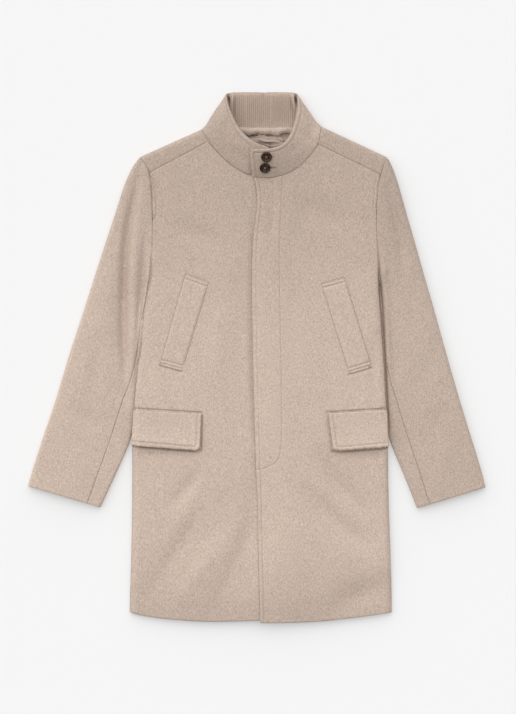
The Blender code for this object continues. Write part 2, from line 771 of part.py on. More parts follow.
def sleeve_upper(hand, names, collection):
    """Upper sleeve in three walls: its top, its outer fold, and the part behind down to the seam below."""
    line = sleeve_line(hand)
    top_seam = smooth_through([row.row for row in SLEEVE_SEAMS], [row.upper for row in SLEEVE_SEAMS])
    low_seam = smooth_through([row.row for row in SLEEVE_SEAMS], [row.lower for row in SLEEVE_SEAMS])
    top_shares = spread(TOP_COLUMNS, 1.0, 0.0)
    low_shares = spread(LOWER_COLUMNS, 0.0, 1.0)

    def fold_gap(t):
        outer, inner = line(t)
        return FOLD_GAP / (inner - outer).length

    def top_place(column, row):
        t = SLEEVE_STEPS[row]
        share = mix(fold_gap(t), top_seam(t), top_shares[column])
        return sleeve_point(hand, line, t, share, None, False)

    def fold_place(column, row):
        return sleeve_point(hand, line, SLEEVE_STEPS[row], 0, OUTER_ANGLES[column], False)

    def low_place(column, row):
        t = SLEEVE_STEPS[row]
        share = mix(fold_gap(t), low_seam(t), low_shares[column])
        return sleeve_point(hand, line, t, share, None, True)

    walls = (
        (len(top_shares), top_place, facing_up),
        (len(OUTER_ANGLES), fold_place, top_faces_up),
        (len(low_shares), low_place, facing_down),
    )
    for name, (columns, place, outward) in zip(names, walls):
        bm = bent_grid(columns, len(SLEEVE_STEPS), place, outward)
        finish_object(name, bm, CLOTH, CLOTH_COLOUR, collection)


def top_faces_up(bm):
    high = [face for face in bm.faces if face.calc_center_median().z > CUFF_INNER_TOP]
    return sum(face.normal.z * face.calc_area() for face in high)


def sleeve_under(hand, name, collection):
    """Under sleeve: from the seam on top, round the inner fold, to the seam below."""
    line = sleeve_line(hand)
    top_seam = smooth_through([row.row for row in SLEEVE_SEAMS], [row.upper for row in SLEEVE_SEAMS])
    low_seam = smooth_through([row.row for row in SLEEVE_SEAMS], [row.lower for row in SLEEVE_SEAMS])
    top_shares = spread(UNDER_TOP_COLUMNS, 0.0, 1.0)[:-1]
    low_shares = spread(LOWER_COLUMNS, 1.0, 0.0)[1:]
    columns = len(top_shares) + len(ROUND_ANGLES) + len(low_shares)

    def place(column, row):
        t = UNDER_STEPS[row]
        outer, inner = line(t)
        gap = SEAM_GAP / (inner - outer).length
        if column < len(top_shares):
            return sleeve_point(hand, line, t, mix(top_seam(t) + gap, 1.0, top_shares[column]), None, False)
        column -= len(top_shares)
        if column < len(ROUND_ANGLES):
            return sleeve_point(hand, line, t, 1, ROUND_ANGLES[column], False)
        column -= len(ROUND_ANGLES)
        return sleeve_point(hand, line, t, mix(low_seam(t) + gap, 1.0, low_shares[column]), None, True)

    bm = bent_grid(columns, len(UNDER_STEPS), place, flat_faces_down)
    return finish_object(name, bm, CLOTH, CLOTH_COLOUR, collection)


collar_line = {column: by_row(COLLAR, column) for column in Station._fields}


def collar_base(s):
    return Vector((collar_line["base_x"](s), collar_line["base_y"](s), collar_line["base_z"](s)))


def collar_edge(s):
    return Vector((collar_line["top_x"](s), collar_line["top_y"](s), collar_line["top_z"](s)))


def collar_inward(s):
    """The way from the collar's outer face to the neck, square to the face."""
    step = STATION_STEP
    along = collar_base(s + step).lerp(collar_edge(s + step), 0.5)
    along = along - collar_base(s - step).lerp(collar_edge(s - step), 0.5)
    return (collar_edge(s) - collar_base(s)).cross(along).normalized()


def collar_point(s, share, inward=0.0):
    """A point of the collar's outer face at a station and a share of its height, moved inward."""
    spot = collar_base(s).lerp(collar_edge(s), share)
    from_fold = abs(s - COLLAR_BACK) - COLLAR_FOLD
    bulge = COLLAR_BULGE * math.sin(math.pi * share) * ease(from_fold)
    return spot + collar_inward(s) * (inward - bulge)


def away_from_neck(bm):
    """Outer face turned away from the neck's middle."""
    middle = NECK_MIDDLE - ORIGIN
    return sum((face.calc_center_median() - middle).dot(face.normal) * face.calc_area() for face in bm.faces)


def collar(name, collection):
    columns = (len(COLLAR) - 1) * COLLAR_STEPS + 1

    def place(column, row):
        return collar_point(column / COLLAR_STEPS, row / (COLLAR_ROWS - 1))

    bm = bent_grid(columns, COLLAR_ROWS, place, away_from_neck)
    return finish_object(name, bm, COLLAR_CLOTH, CLOTH_COLOUR, collection)


def rib_inset(s, share):
    """The rib stands clear of the collar's side folds, most at the top."""
    corner = math.exp(-((abs(s - COLLAR_BACK) - COLLAR_FOLD) / RIB_CORNER_SPAN) ** 2)
    return COLLAR_CLOTH + RIB_GAP + RIB_CORNER_INSET * corner * mix(RIB_LOW_CORNER, 1.0, share)


def collar_rib(name, collection):
    """Knit inside of the collar: a plain face to the collar and raised ribs to the neck."""
    lengths = [0.0]
    marks = spread(RIB_MARKS, RIB_FIRST_STATION, RIB_LAST_STATION)
    spots = [collar_point(s, RIB_MIDDLE, rib_inset(s, RIB_MIDDLE)) for s in marks]
    for before, after in zip(spots, spots[1:]):
        lengths.append(lengths[-1] + (after - before).length)
    station_at = smooth_through(lengths, marks)
    ribs = round(lengths[-1] / RIB_PITCH)
    columns = 2 * ribs + 1
    stations = [station_at(lengths[-1] * column / (columns - 1)) for column in range(columns)]

    def place(column, row):
        s = stations[column]
        share = mix(RIB_LOW, RIB_HIGH, row / (RIB_ROWS - 1))
        return collar_point(s, share, rib_inset(s, share))

    bm, spots = bent_grid(columns, RIB_ROWS, place, away_from_neck, with_spots=True)
    valley = RIB_WALL / (RIB_WALL + RIB_RIDGE)
    weights = {index: 1.0 if column % 2 else valley for index, column in spots}
    return finish_object(name, bm, RIB_WALL + RIB_RIDGE, RIB_COLOUR, collection, weights)


def neck_facing(name, collection):
    """Rounded band of cloth along the rib's lower edge at the back neck."""
    columns, rows = FACING_GRID

    def place(column, row):
        u = column / (columns - 1)
        v = row / (rows - 1)
        x = mix(FACING_X[0], FACING_X[1], u)
        y = mix(FACING_Y[0], FACING_Y[1], v) - FACING_SAG * math.sin(math.pi * u)
        z = FACING_Z + FACING_BULGE * math.sin(math.pi * v)
        return Vector((x, y, z))

    bm = bent_grid(columns, rows, place, facing_up)
    return finish_object(name, bm, FACING_WALL, CLOTH_COLOUR, collection)


def neck_lining(name, collection):
    """Lining that lies in small folds on the back inside the neck."""
    columns, rows = LINING_GRID

    def place(column, row):
        x = mix(LINING_X[0], LINING_X[1], column / (columns - 1))
        y = mix(LINING_Y[0], LINING_Y[1], row / (rows - 1))
        return Vector((x, y, LINING_Z + fold_sum(LINING_FOLDS, x, y)))

    bm = bent_grid(columns, rows, place, facing_up)
    return finish_object(name, bm, LINING_WALL, LINING_COLOUR, collection)


def quad_point(quad, u, v):
    """u runs from the front edge's side outwards, v from the low end to the top end."""
    low = Vector(quad.low_in).lerp(Vector(quad.low_out), u)
    high = Vector(quad.top_in).lerp(Vector(quad.top_out), u)
    return low.lerp(high, v)


def welt(hand, name, collection):
    columns, rows = WELT_GRID

    def place(column, row):
        spot = quad_point(WELTS[hand], column / (columns - 1), row / (rows - 1))
        return Vector((spot.x, spot.y, front_face(hand, spot.x, spot.y) + LAY_GAP + TRIM_CLOTH))

    bm = bent_grid(columns, rows, place, facing_up)
    return finish_object(name, bm, TRIM_CLOTH, CLOTH_COLOUR, collection)


def flap(hand, name, collection):
    """Flap sewn along its top, lying on the front, its lower inner corner rounded."""
    quad = FLAPS[hand]
    width = (Vector(quad.low_out) - Vector(quad.low_in)).length

    def place(column, row):
        u = FLAP_COLUMNS[column]
        v = FLAP_ROWS[row]
        from_edge = u * width
        if from_edge < FLAP_CORNER_ROUND:
            arc = FLAP_CORNER_ROUND - from_edge
            rise = FLAP_CORNER_ROUND - math.sqrt(FLAP_CORNER_ROUND ** 2 - arc ** 2)
            v = mix(rise / (Vector(quad.top_in) - Vector(quad.low_in)).length, 1.0, v)
        spot = quad_point(quad, u, v)
        side = SIDE_X[hand](spot.y)
        inside = side - hand * FLAP_EDGE_INSET
        x_on_front = spot.x if (inside - spot.x) * hand > 0 else inside
        z = front_face(hand, x_on_front, spot.y) + LAY_GAP + TRIM_CLOTH + FLAP_LIFT * (1 - v) ** 2
        return Vector((spot.x, spot.y, z))

    bm = bent_grid(len(FLAP_COLUMNS), len(FLAP_ROWS), place, facing_up)
    return finish_object(name, bm, TRIM_CLOTH, CLOTH_COLOUR, collection)


def button(name, collection, cutters):
    """Turned four-hole button with a raised rim, seated on the collar tab."""
    station, share = BUTTONS[name]
    floor = BUTTON_THICK - BUTTON_DISH
    rim = BUTTON_RADIUS - BUTTON_RIM
    profile = (
        (0.0, floor),
        (rim - BUTTON_DISH * 0.7, floor),
        (rim + BUTTON_DISH * 0.5, BUTTON_THICK - BUTTON_DISH * 0.1),
        (BUTTON_RADIUS - BUTTON_EDGE, BUTTON_THICK),
        (BUTTON_RADIUS - BUTTON_EDGE * 0.3, BUTTON_THICK - BUTTON_EDGE * 0.4),
        (BUTTON_RADIUS, BUTTON_THICK - BUTTON_EDGE * 1.3),
        (BUTTON_RADIUS - BUTTON_EDGE, BUTTON_EDGE * 0.5),
        (BUTTON_RADIUS - BUTTON_EDGE * 2.4, 0.0),
        (0.0, 0.0),
    )
    bm = bmesh.new()
    verts = [bm.verts.new((x, 0.0, z)) for x, z in profile]
    for a, b in zip(verts, verts[1:]):
        bm.edges.new((a, b))
    item = finish_object(name, bm, None, BUTTON_COLOUR, collection, roughness=BUTTON_ROUGHNESS)
    turn = item.modifiers.new("turned", "SCREW")
    turn.axis = "Z"
    turn.steps = BUTTON_STEPS
    turn.render_steps = BUTTON_STEPS
    turn.use_merge_vertices = True
    turn.merge_threshold = MERGE
    turn.use_normal_calculate = True
    turn.use_smooth_shade = False

    holes = bmesh.new()
    for corner in range(BUTTON_HOLES):
        angle = 2 * math.pi * (corner + 0.5) / BUTTON_HOLES
        spot = Matrix.Translation((
            BUTTON_HOLE_SPACE * math.cos(angle), BUTTON_HOLE_SPACE * math.sin(angle), BUTTON_THICK / 2))
        bmesh.ops.create_cone(
            holes, cap_ends=True, segments=BUTTON_HOLE_SIDES, radius1=BUTTON_HOLE_RADIUS,
            radius2=BUTTON_HOLE_RADIUS, depth=BUTTON_THICK * 2, matrix=spot)
    cutter = finish_object(name + "_holes", holes, None, BUTTON_COLOUR, cutters)
    cutter.hide_render = True
    cutter.display_type = "WIRE"
    cut = item.modifiers.new("holes", "BOOLEAN")
    cut.operation = "DIFFERENCE"
    cut.solver = "EXACT"
    cut.object = cutter

    up = -collar_inward(station)
    along = (collar_base(station + STATION_STEP) - collar_base(station - STATION_STEP)).normalized()
    along = (along - up * along.dot(up)).normalized()
    sideways = up.cross(along)
    seat = collar_point(station, share) + up * BUTTON_SEAT - ORIGIN
    turned = Matrix((along, sideways, up)).transposed().to_4x4()
    item.matrix_world = Matrix.Translation(seat) @ turned
    cutter.matrix_world = item.matrix_world
    return item


for old in list(bpy.data.objects):
    bpy.data.objects.remove(old, do_unlink=True)

coat = bpy.data.collections.new("single_breasted_coat")
cutters = bpy.data.collections.new("cutters")
bpy.context.scene.collection.children.link(coat)
bpy.context.scene.collection.children.link(cutters)

back("back", coat)
for hand, word in ((RIGHT, "right"), (LEFT, "left")):
    front(hand, "front_" + word, coat)
    shoulder(hand, "shoulder_" + word, coat)
    sleeve_upper(hand, ["sleeve_upper_" + word, "sleeve_fold_" + word, "sleeve_behind_" + word], coat)
    sleeve_under(hand, "sleeve_under_" + word, coat)
    welt(hand, "welt_" + word, coat)
    flap(hand, "flap_" + word, coat)
collar("collar_stand", coat)
collar_rib("collar_rib", coat)
neck_facing("neck_facing", coat)
neck_lining("neck_lining", coat)
for button_name in BUTTONS:
    button(button_name, coat, cutters)
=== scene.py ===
"""Looks of a single-breasted wool coat, buttoned and laid flat on its back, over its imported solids."""

import math
from collections import namedtuple

import bmesh
import bpy
import numpy as np
from mathutils import Matrix, Vector
from mathutils.bvhtree import BVHTree
from mathutils.kdtree import KDTree


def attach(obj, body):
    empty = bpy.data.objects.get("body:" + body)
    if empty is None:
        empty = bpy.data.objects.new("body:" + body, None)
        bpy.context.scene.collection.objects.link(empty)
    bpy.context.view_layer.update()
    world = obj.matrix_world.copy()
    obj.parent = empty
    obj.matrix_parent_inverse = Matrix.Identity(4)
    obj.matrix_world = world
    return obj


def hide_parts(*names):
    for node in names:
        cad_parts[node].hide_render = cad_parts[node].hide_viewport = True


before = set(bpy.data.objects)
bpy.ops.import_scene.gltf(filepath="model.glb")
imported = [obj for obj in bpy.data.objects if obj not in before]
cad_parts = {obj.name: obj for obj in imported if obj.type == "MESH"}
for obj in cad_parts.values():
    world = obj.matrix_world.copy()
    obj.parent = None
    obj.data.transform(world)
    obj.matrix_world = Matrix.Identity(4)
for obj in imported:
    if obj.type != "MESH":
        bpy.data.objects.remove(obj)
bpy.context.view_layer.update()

# Back: one panel of milled beige melton that lies on the table under the whole body.
# It rolls up at the side seams and folds over the shoulders to the forward seams.
MERGE = 0.00001
FOLD_GAP = 0.0017
RIM_ANGLE = math.radians(52)
RIM_ROUND = 0.0007
RIM_DIP = 0.0006
RIM_DIP_WIDTH = 0.0017
FINE_BAND = 0.004
FINE_STEP = 0.0012
BACK_STEP = 0.0022
ROUTE_STEP = 0.002
CUT_ROUNDS = 4
AT_ONCE = 2000
WALL = 0.0028
END_TILT = 0.7
LOOKS_UP = 0.2
WOOL = (0.525, 0.419, 0.348, 1.0)
# Painted shade: the yoke's wool is the melton painted a little darker, as the shade over the yoke.
SHADED_YOKE_WOOL = (0.496, 0.394, 0.327, 1.0)
WARP_DRAW = (1.0, 0.5, 1.0)
MOTTLE = 0.07
NAP = 0.0004
MILLED = {"Roughness": 0.92, "Specular IOR Level": 0.15, "Sheen Weight": 0.12, "Sheen Roughness": 0.45}


def put(tree, kind, sockets=(), **settings):
    """Adds a shader node; sockets gives its inputs as plain values or as outputs to link."""
    node = tree.nodes.new("ShaderNode" + kind)
    for key, value in settings.items():
        setattr(node, key, value)
    for key, value in dict(sockets).items():
        if isinstance(value, bpy.types.NodeSocket):
            tree.links.new(value, node.inputs[key])
        else:
            node.inputs[key].default_value = value
    return node


def group_with(name, given, made):
    """An empty shader group with its sockets, and its input and output nodes."""
    group = bpy.data.node_groups.new(name, "ShaderNodeTree")
    for socket, kind in given:
        group.interface.new_socket(socket, in_out="INPUT", socket_type="NodeSocket" + kind)
    for socket, kind in made:
        group.interface.new_socket(socket, in_out="OUTPUT", socket_type="NodeSocket" + kind)
    return group, group.nodes.new("NodeGroupInput"), group.nodes.new("NodeGroupOutput")


def ramp(tree, value, span, result=(0.0, 1.0), kind="LINEAR"):
    """A value carried over from one span to another, straight or eased."""
    sockets = {"Value": value, 1: span[0], 2: span[1], 3: result[0], 4: result[1]}
    return put(tree, "MapRange", sockets, interpolation_type=kind).outputs[0]


def noise(tree, place, scale, detail, **more):
    """The values of a noise over a place."""
    sockets = {"Vector": place, "Scale": scale, "Detail": detail, **more}
    return put(tree, "TexNoise", sockets).outputs["Fac"]


def heathered_wool():
    """Light and dark fibres drawn out along the warp, a few dark hairs and a soft mottle, with painted light
    and shade over them: darker towards the top of the coat, lighter from its middle down, darker towards the
    hem, and lighter to one side where asked.
    """
    given = (
        ("Place", "Vector"), ("Wool", "Color"), ("Streak", "Float"), ("Fleck", "Float"), ("Painted side light", "Float"))
    group, inside, result = group_with("heathered_wool", given, (("Colour", "Color"), ("Nap", "Float")))
    asked = inside.outputs
    place = asked["Place"]
    drawn = put(group, "VectorMath", {0: place, 1: WARP_DRAW}, operation="MULTIPLY").outputs[0]
    streak = noise(group, drawn, 460, 3, Roughness=0.7)
    fleck = noise(group, place, 620, 2, Roughness=0.7)
    mottle = noise(group, place, 30, 3, Roughness=0.5)
    hair = noise(group, drawn, 260, 1)
    shade = 1.0
    for fibre, amount in ((streak, asked["Streak"]), (fleck, asked["Fleck"]), (mottle, MOTTLE)):
        centred = put(group, "Math", {0: fibre, 1: 0.5}, operation="SUBTRACT").outputs[0]
        shade = put(group, "Math", {0: centred, 1: amount, 2: shade}, operation="MULTIPLY_ADD").outputs[0]
    apart = put(group, "SeparateXYZ", {0: place}).outputs
    # Painted light and shade across the width: one side is painted lighter and the other darker, as much as
    # asked.
    painted_side_light = put(group, "Math", {0: apart["X"], 1: asked["Painted side light"], 2: 1.0}, operation="MULTIPLY_ADD").outputs[0]
    # Painted shade towards the top of the coat, painted light from its middle down, and painted shade again
    # towards the hem.
    painted_length_light = ramp(group, apart["Y"], (0.36, -0.02), (0.9, 1.06), "SMOOTHSTEP")
    painted_hem_shade = ramp(group, apart["Y"], (-0.33, -0.47), (1.0, 0.925), "SMOOTHSTEP")
    hairs = ramp(group, hair, (0.72, 0.8), (1.0, 0.86))
    for factor in (painted_side_light, painted_length_light, painted_hem_shade, hairs):
        shade = put(group, "Math", {0: shade, 1: factor}, operation="MULTIPLY").outputs[0]
    tinted = put(group, "VectorMath", {0: asked["Wool"], "Scale": shade}, operation="SCALE")
    group.links.new(tinted.outputs[0], result.inputs["Colour"])
    nap = put(group, "Math", {0: streak, 1: fleck}, operation="ADD")
    group.links.new(nap.outputs[0], result.inputs["Nap"])
    return group


HEATHER = heathered_wool()


def new_material(name, even):
    """A material, its nodes and its shader's sockets; even gives those that are the same all over."""
    material = bpy.data.materials.new(name)
    material.use_nodes = True
    sockets = material.node_tree.nodes["Principled BSDF"].inputs
    for socket, value in even.items():
        sockets[socket].default_value = value
    return material, material.node_tree, sockets


def melton(name, wool=WOOL, turn=0.0, streak=1.06, fleck=1.0, painted_side_light=0.0):
    """Matt milled wool; turn is the angle of its warp from the coat's length.
    Painted side light is how much lighter the colour is painted towards the wearer's left, and darker
    towards the right, for each metre: painted light and shade that even out the lamp's side light."""
    material, tree, sockets = new_material(name, MILLED)
    place = put(tree, "TexCoord").outputs["Object"]
    turned = put(tree, "Mapping", {"Vector": place, "Rotation": (0.0, 0.0, turn)}).outputs[0]
    heather = put(
        tree, "Group", {"Place": turned, "Wool": wool, "Streak": streak, "Fleck": fleck, "Painted side light": painted_side_light},
        node_tree=HEATHER)
    bump = put(tree, "Bump", {"Height": heather.outputs["Nap"], "Strength": 0.5, "Distance": NAP})
    tree.links.new(heather.outputs["Colour"], sockets["Base Color"])
    tree.links.new(bump.outputs[0], sockets["Normal"])
    return material


def into_scene(name, data):
    """A new object of the scene with that mesh, light or camera."""
    thing = bpy.data.objects.new(name, data)
    bpy.context.scene.collection.objects.link(thing)
    return thing


def opened(mesh):
    """A mesh opened for modelling."""
    bm = bmesh.new()
    bm.from_mesh(mesh)
    return bm


def closed(bm, mesh):
    """Ends the modelling of a mesh; a name in place of the mesh makes a new one."""
    if isinstance(mesh, str):
        mesh = bpy.data.meshes.new(mesh)
    bm.to_mesh(mesh)
    bm.free()
    return mesh


def evaluated(cage):
    """The mesh that an object's modifiers make; the object itself goes."""
    bpy.context.view_layer.update()
    mesh = bpy.data.meshes.new_from_object(cage.evaluated_get(bpy.context.evaluated_depsgraph_get()))
    bpy.data.objects.remove(cage)
    return mesh


def quad_wall(node):
    """A CAD wall's copy, merged and paired into quads."""
    bm = opened(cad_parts[node].data)
    bmesh.ops.remove_doubles(bm, verts=bm.verts[:], dist=MERGE)
    bmesh.ops.join_triangles(
        bm, faces=bm.faces[:], angle_face_threshold=math.pi, angle_shape_threshold=math.pi)
    return bm


def tree_of(places):
    tree = KDTree(len(places))
    for index, place in enumerate(places):
        tree.insert(place, index)
    tree.balance()
    return tree


def joined_walls(nodes):
    """Walls that are one piece of cloth: the ends that face each other go and the edges are welded."""
    whole = bmesh.new()
    wall_number = whole.verts.layers.int.new("wall")
    for number, node in enumerate(nodes):
        mesh = closed(quad_wall(node), node)
        known = len(whole.verts)
        whole.from_mesh(mesh)
        whole.verts.ensure_lookup_table()
        for vert in whole.verts[known:]:
            vert[wall_number] = number
        bpy.data.meshes.remove(mesh)
    tree = tree_of([vert.co for vert in whole.verts])
    met = set()
    for vert in whole.verts:
        near = tree.find_range(vert.co, FOLD_GAP)
        if any(whole.verts[index][wall_number] != vert[wall_number] for _, index, _ in near):
            met.add(vert)
    upright = [face for face in whole.faces if abs(face.normal.z) < END_TILT]
    ends = [face for face in upright if all(vert in met for vert in face.verts)]
    bmesh.ops.delete(whole, geom=ends, context="FACES")
    loose = [vert for vert in whole.verts if vert.is_boundary]
    bmesh.ops.remove_doubles(whole, verts=loose, dist=FOLD_GAP)
    bmesh.ops.holes_fill(whole, edges=[edge for edge in whole.edges if edge.is_boundary], sides=4)
    return whole


def rim_edges(bm):
    return [edge for edge in bm.edges if edge.calc_face_angle(0.0) > RIM_ANGLE]


def fine_wall(nodes, levels):
    """Walls of one piece of cloth, subdivided with their cut rims kept in place."""
    bm = joined_walls(nodes)
    crease = bm.edges.layers.float.new("crease_edge")
    for edge in rim_edges(bm):
        edge[crease] = 1.0
    cage = into_scene(nodes[0] + "_cage", closed(bm, nodes[0]))
    rounding = cage.modifiers.new("rounding", "SUBSURF")
    rounding.levels = levels
    rounding.render_levels = levels
    return evaluated(cage)


def points_of(mesh):
    points = np.empty(len(mesh.vertices) * 3)
    mesh.vertices.foreach_get("co", points)
    return points.reshape(-1, 3)


def set_points(mesh, points):
    mesh.vertices.foreach_set("co", points.ravel())
    mesh.update()


def rim_middle(mesh):
    """Points along the middle of a piece's cut rims, between their two corners."""
    bm = opened(mesh)
    samples = []
    for edge in rim_edges(bm):
        for share in (0.25, 0.75):
            samples.append(edge.verts[0].co.lerp(edge.verts[1].co, share))
    bm.free()
    tree = tree_of(samples)
    middle = []
    for sample in samples:
        near = tree.find_range(sample, WALL)
        middle.append(sum((spot for spot, _, _ in near), Vector()) / len(near))
    return np.array(middle)


def smooth_route(points, step):
    """A route through the points with its corners cut three times, in even steps."""
    route = np.array(points, float)
    for _ in range(3):
        near = route[:-1] * 0.75 + route[1:] * 0.25
        far = route[:-1] * 0.25 + route[1:] * 0.75
        cut = np.stack((near, far), axis=1).reshape(-1, route.shape[1])
        route = np.vstack((route[:1], cut[1:-1], route[-1:]))
    lengths = np.concatenate(([0.0], np.cumsum(np.linalg.norm(np.diff(route, axis=0), axis=1))))
    marks = np.linspace(0.0, lengths[-1], max(2, round(lengths[-1] / step) + 1))
    return np.stack([np.interp(marks, lengths, column) for column in route.T], axis=1)


def fold_height(points, folds):
    """Height that soft troughs and ridges add; each runs along its route and out at both ends."""
    height = np.zeros(len(points))
    for fold in folds:
        height += route_height(points, fold.route, fold.half_width, fold.height, True, fold.slow_side)
    return height


def route_height(points, route, half_width, height, runs_out=False, slow_side=None):
    """Height of one rounded ridge along a route, or of a trough if height is negative.
    On its left hand it runs out over the width of the slow side, if one is given."""
    line = smooth_route(route, min(half_width / 3, ROUTE_STEP))
    heading = np.gradient(line, axis=0)
    slow_side = slow_side or half_width
    reach = 3 * max(half_width, slow_side)
    near = (points[:, :2] > line.min(axis=0) - reach) & (points[:, :2] < line.max(axis=0) + reach)
    inside = np.nonzero(near.all(axis=1))[0]
    added = np.zeros(len(points))
    for some in np.array_split(inside, len(inside) // AT_ONCE + 1):
        gaps = np.linalg.norm(points[some, None, :2] - line[None], axis=2)
        nearest = gaps.argmin(axis=1)
        away = gaps[np.arange(len(some)), nearest]
        strength = np.sin(np.pi * nearest / (len(line) - 1)) if runs_out else 1.0
        beyond = points[some, :2] - line[nearest]
        left = heading[nearest, 0] * beyond[:, 1] > heading[nearest, 1] * beyond[:, 0]
        added[some] = height * strength * np.exp(-(away / np.where(left, slow_side, half_width)) ** 2)
    return added


def cut_finer(mesh, routes=(), band=FINE_BAND, longest=FINE_STEP, rims=True):
    """Cuts the upper face finer along the routes and the rims, for folds and grooves to show in it."""
    bm = opened(mesh)
    spots = [(x, y, 0.0) for route in routes for x, y in smooth_route(route, ROUTE_STEP)]
    for edge in rim_edges(bm) if rims else ():
        first, last = (vert.co for vert in edge.verts)
        for share in np.linspace(0.0, 1.0, 2 + int(edge.calc_length() / ROUTE_STEP)):
            spot = first.lerp(last, share)
            spots.append((spot.x, spot.y, 0.0))
    tree = tree_of(spots)
    for _ in range(CUT_ROUNDS):
        edges = set()
        for face in bm.faces:
            if face.normal.z < LOOKS_UP or face.calc_area() < longest ** 2:
                continue
            middle = face.calc_center_median()
            if tree.find((middle.x, middle.y, 0.0))[2] < band + 0.5 * math.sqrt(face.calc_area()):
                edges.update(face.edges)
        if not edges:
            break
        bmesh.ops.subdivide_edges(bm, edges=list(edges), cuts=1, use_grid_fill=True)
        bmesh.ops.triangulate(bm, faces=[face for face in bm.faces if len(face.verts) > 4])
        bm.normal_update()
    closed(bm, mesh)


def soft_rims(mesh, dip=RIM_DIP, width=RIM_DIP_WIDTH):
    """Rolls the outer face down to the cut rims and rounds the rims off."""
    bm = opened(mesh)
    rims = rim_edges(bm)
    tree = tree_of([vert.co for edge in rims for vert in edge.verts])
    for vert in bm.verts:
        if vert.normal.z > LOOKS_UP:
            away = tree.find(vert.co)[2]
            vert.co.z -= dip * math.exp(-(away / width) ** 2)
    sharp = BVHTree.FromBMesh(bm)
    made = bmesh.ops.bevel(
        bm, geom=rims, offset=RIM_ROUND, segments=2, profile=0.5, affect="EDGES", material=-1)
    for vert in made["verts"]:
        spot, _, _, away = sharp.find_nearest(vert.co)
        if away > RIM_ROUND / 2:
            vert.co = spot
    closed(bm, mesh)


def dress(name, mesh, material, nodes=()):
    """Makes a finished mesh a piece of the coat that stands for those CAD nodes."""
    points = points_of(mesh)
    points[:, 2] = np.maximum(points[:, 2], 0.0)
    set_points(mesh, points)
    mesh.materials.clear()
    mesh.materials.append(material)
    mesh.shade_smooth()
    piece = into_scene(name, mesh)
    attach(piece, "root")
    if nodes:
        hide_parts(*nodes)
    return piece


Fold = namedtuple("Fold", "route half_width height slow_side", defaults=(None,))
BACK_FOLDS = (
    Fold(((-0.12, 0.25), (-0.06, 0.215), (0.03, 0.225)), 0.018, 0.0008),
    Fold(((0.09, 0.14), (0.115, 0.02), (0.1, -0.11)), 0.022, 0.0009),
    Fold(((-0.17, 0.03), (-0.14, -0.08), (-0.15, -0.19)), 0.016, 0.0007),
    Fold(((-0.06, -0.21), (-0.02, -0.33), (-0.035, -0.43)), 0.025, 0.0009),
    Fold(((0.18, -0.24), (0.14, -0.32)), 0.015, 0.0006),
)
back_nodes = ["back", "shoulder_right", "shoulder_left"]
back_mesh = fine_wall(back_nodes, 2)
cut_finer(back_mesh, longest=BACK_STEP)
points = points_of(back_mesh)
points[:, 2] += fold_height(points, BACK_FOLDS)
set_points(back_mesh, points)
back_rims = rim_middle(back_mesh)
soft_rims(back_mesh)
# The back's wool carries the painted shade of the yoke.
back = dress("back_panel", back_mesh, melton("back_wool_shaded", wool=SHADED_YOKE_WOOL), nodes=back_nodes)

# Fronts: the left one lies over the right and hides the row of buttons behind a fly.
# Each is one panel of melton, turned in at the front edge and stitched through near it.
FRONT_FOLDS = (
    Fold(((-0.001, 0.33), (-0.009, 0.2), (-0.0095, 0.09), (-0.0075, -0.03), (-0.003, -0.17),
          (0.001, -0.29)), 0.0064, -0.0052),
    Fold(((-0.08, -0.235), (-0.1214, -0.3275), (-0.17, -0.4), (-0.212, -0.48)), 0.018, -0.0066, 0.05),
    Fold(((-0.002, -0.18), (-0.002, -0.29), (-0.018, -0.35), (-0.052, -0.42), (-0.085, -0.5)),
         0.021, -0.0078, 0.05),
    Fold(((-0.1, -0.205), (-0.135, -0.25), (-0.17, -0.29)), 0.013, -0.003),
    Fold(((-0.06, -0.33), (-0.1, -0.39), (-0.15, -0.47)), 0.016, 0.0026),
    Fold(((0.105, -0.165), (0.15, -0.24), (0.215, -0.31)), 0.016, -0.0072),
    Fold(((0.085, -0.235), (0.145, -0.312), (0.225, -0.37)), 0.019, -0.007),
    Fold(((0.13, -0.475), (0.19, -0.452), (0.275, -0.42)), 0.026, -0.0075),
    Fold(((-0.012, 0.19), (-0.014, -0.15), (-0.01, -0.46)), 0.045, -0.0036),
    Fold(((0.19, -0.17), (0.215, -0.3), (0.205, -0.44)), 0.032, -0.004),
    Fold(((-0.165, 0.262), (-0.12, 0.236), (-0.06, 0.205)), 0.019, -0.003),
    Fold(((0.085, 0.3), (0.13, 0.268), (0.185, 0.24)), 0.02, -0.003),
    Fold(((0.022, 0.32), (0.032, 0.275), (0.026, 0.215)), 0.009, -0.0028),
    Fold(((0.075, 0.09), (0.098, 0.0), (0.092, -0.09)), 0.022, 0.0026),
    Fold(((-0.055, 0.11), (-0.078, 0.02), (-0.07, -0.09)), 0.022, 0.0026),
    Fold(((-0.226, 0.05), (-0.205, -0.01), (-0.212, -0.08)), 0.012, -0.0026),
    Fold(((0.235, 0.06), (0.218, -0.02), (0.228, -0.085)), 0.012, -0.0026),
    Fold(((-0.236, -0.185), (-0.17, -0.178), (-0.108, -0.186)), 0.01, -0.0028),
    Fold(((0.142, -0.184), (0.19, -0.18), (0.248, -0.188)), 0.01, -0.0028),
)
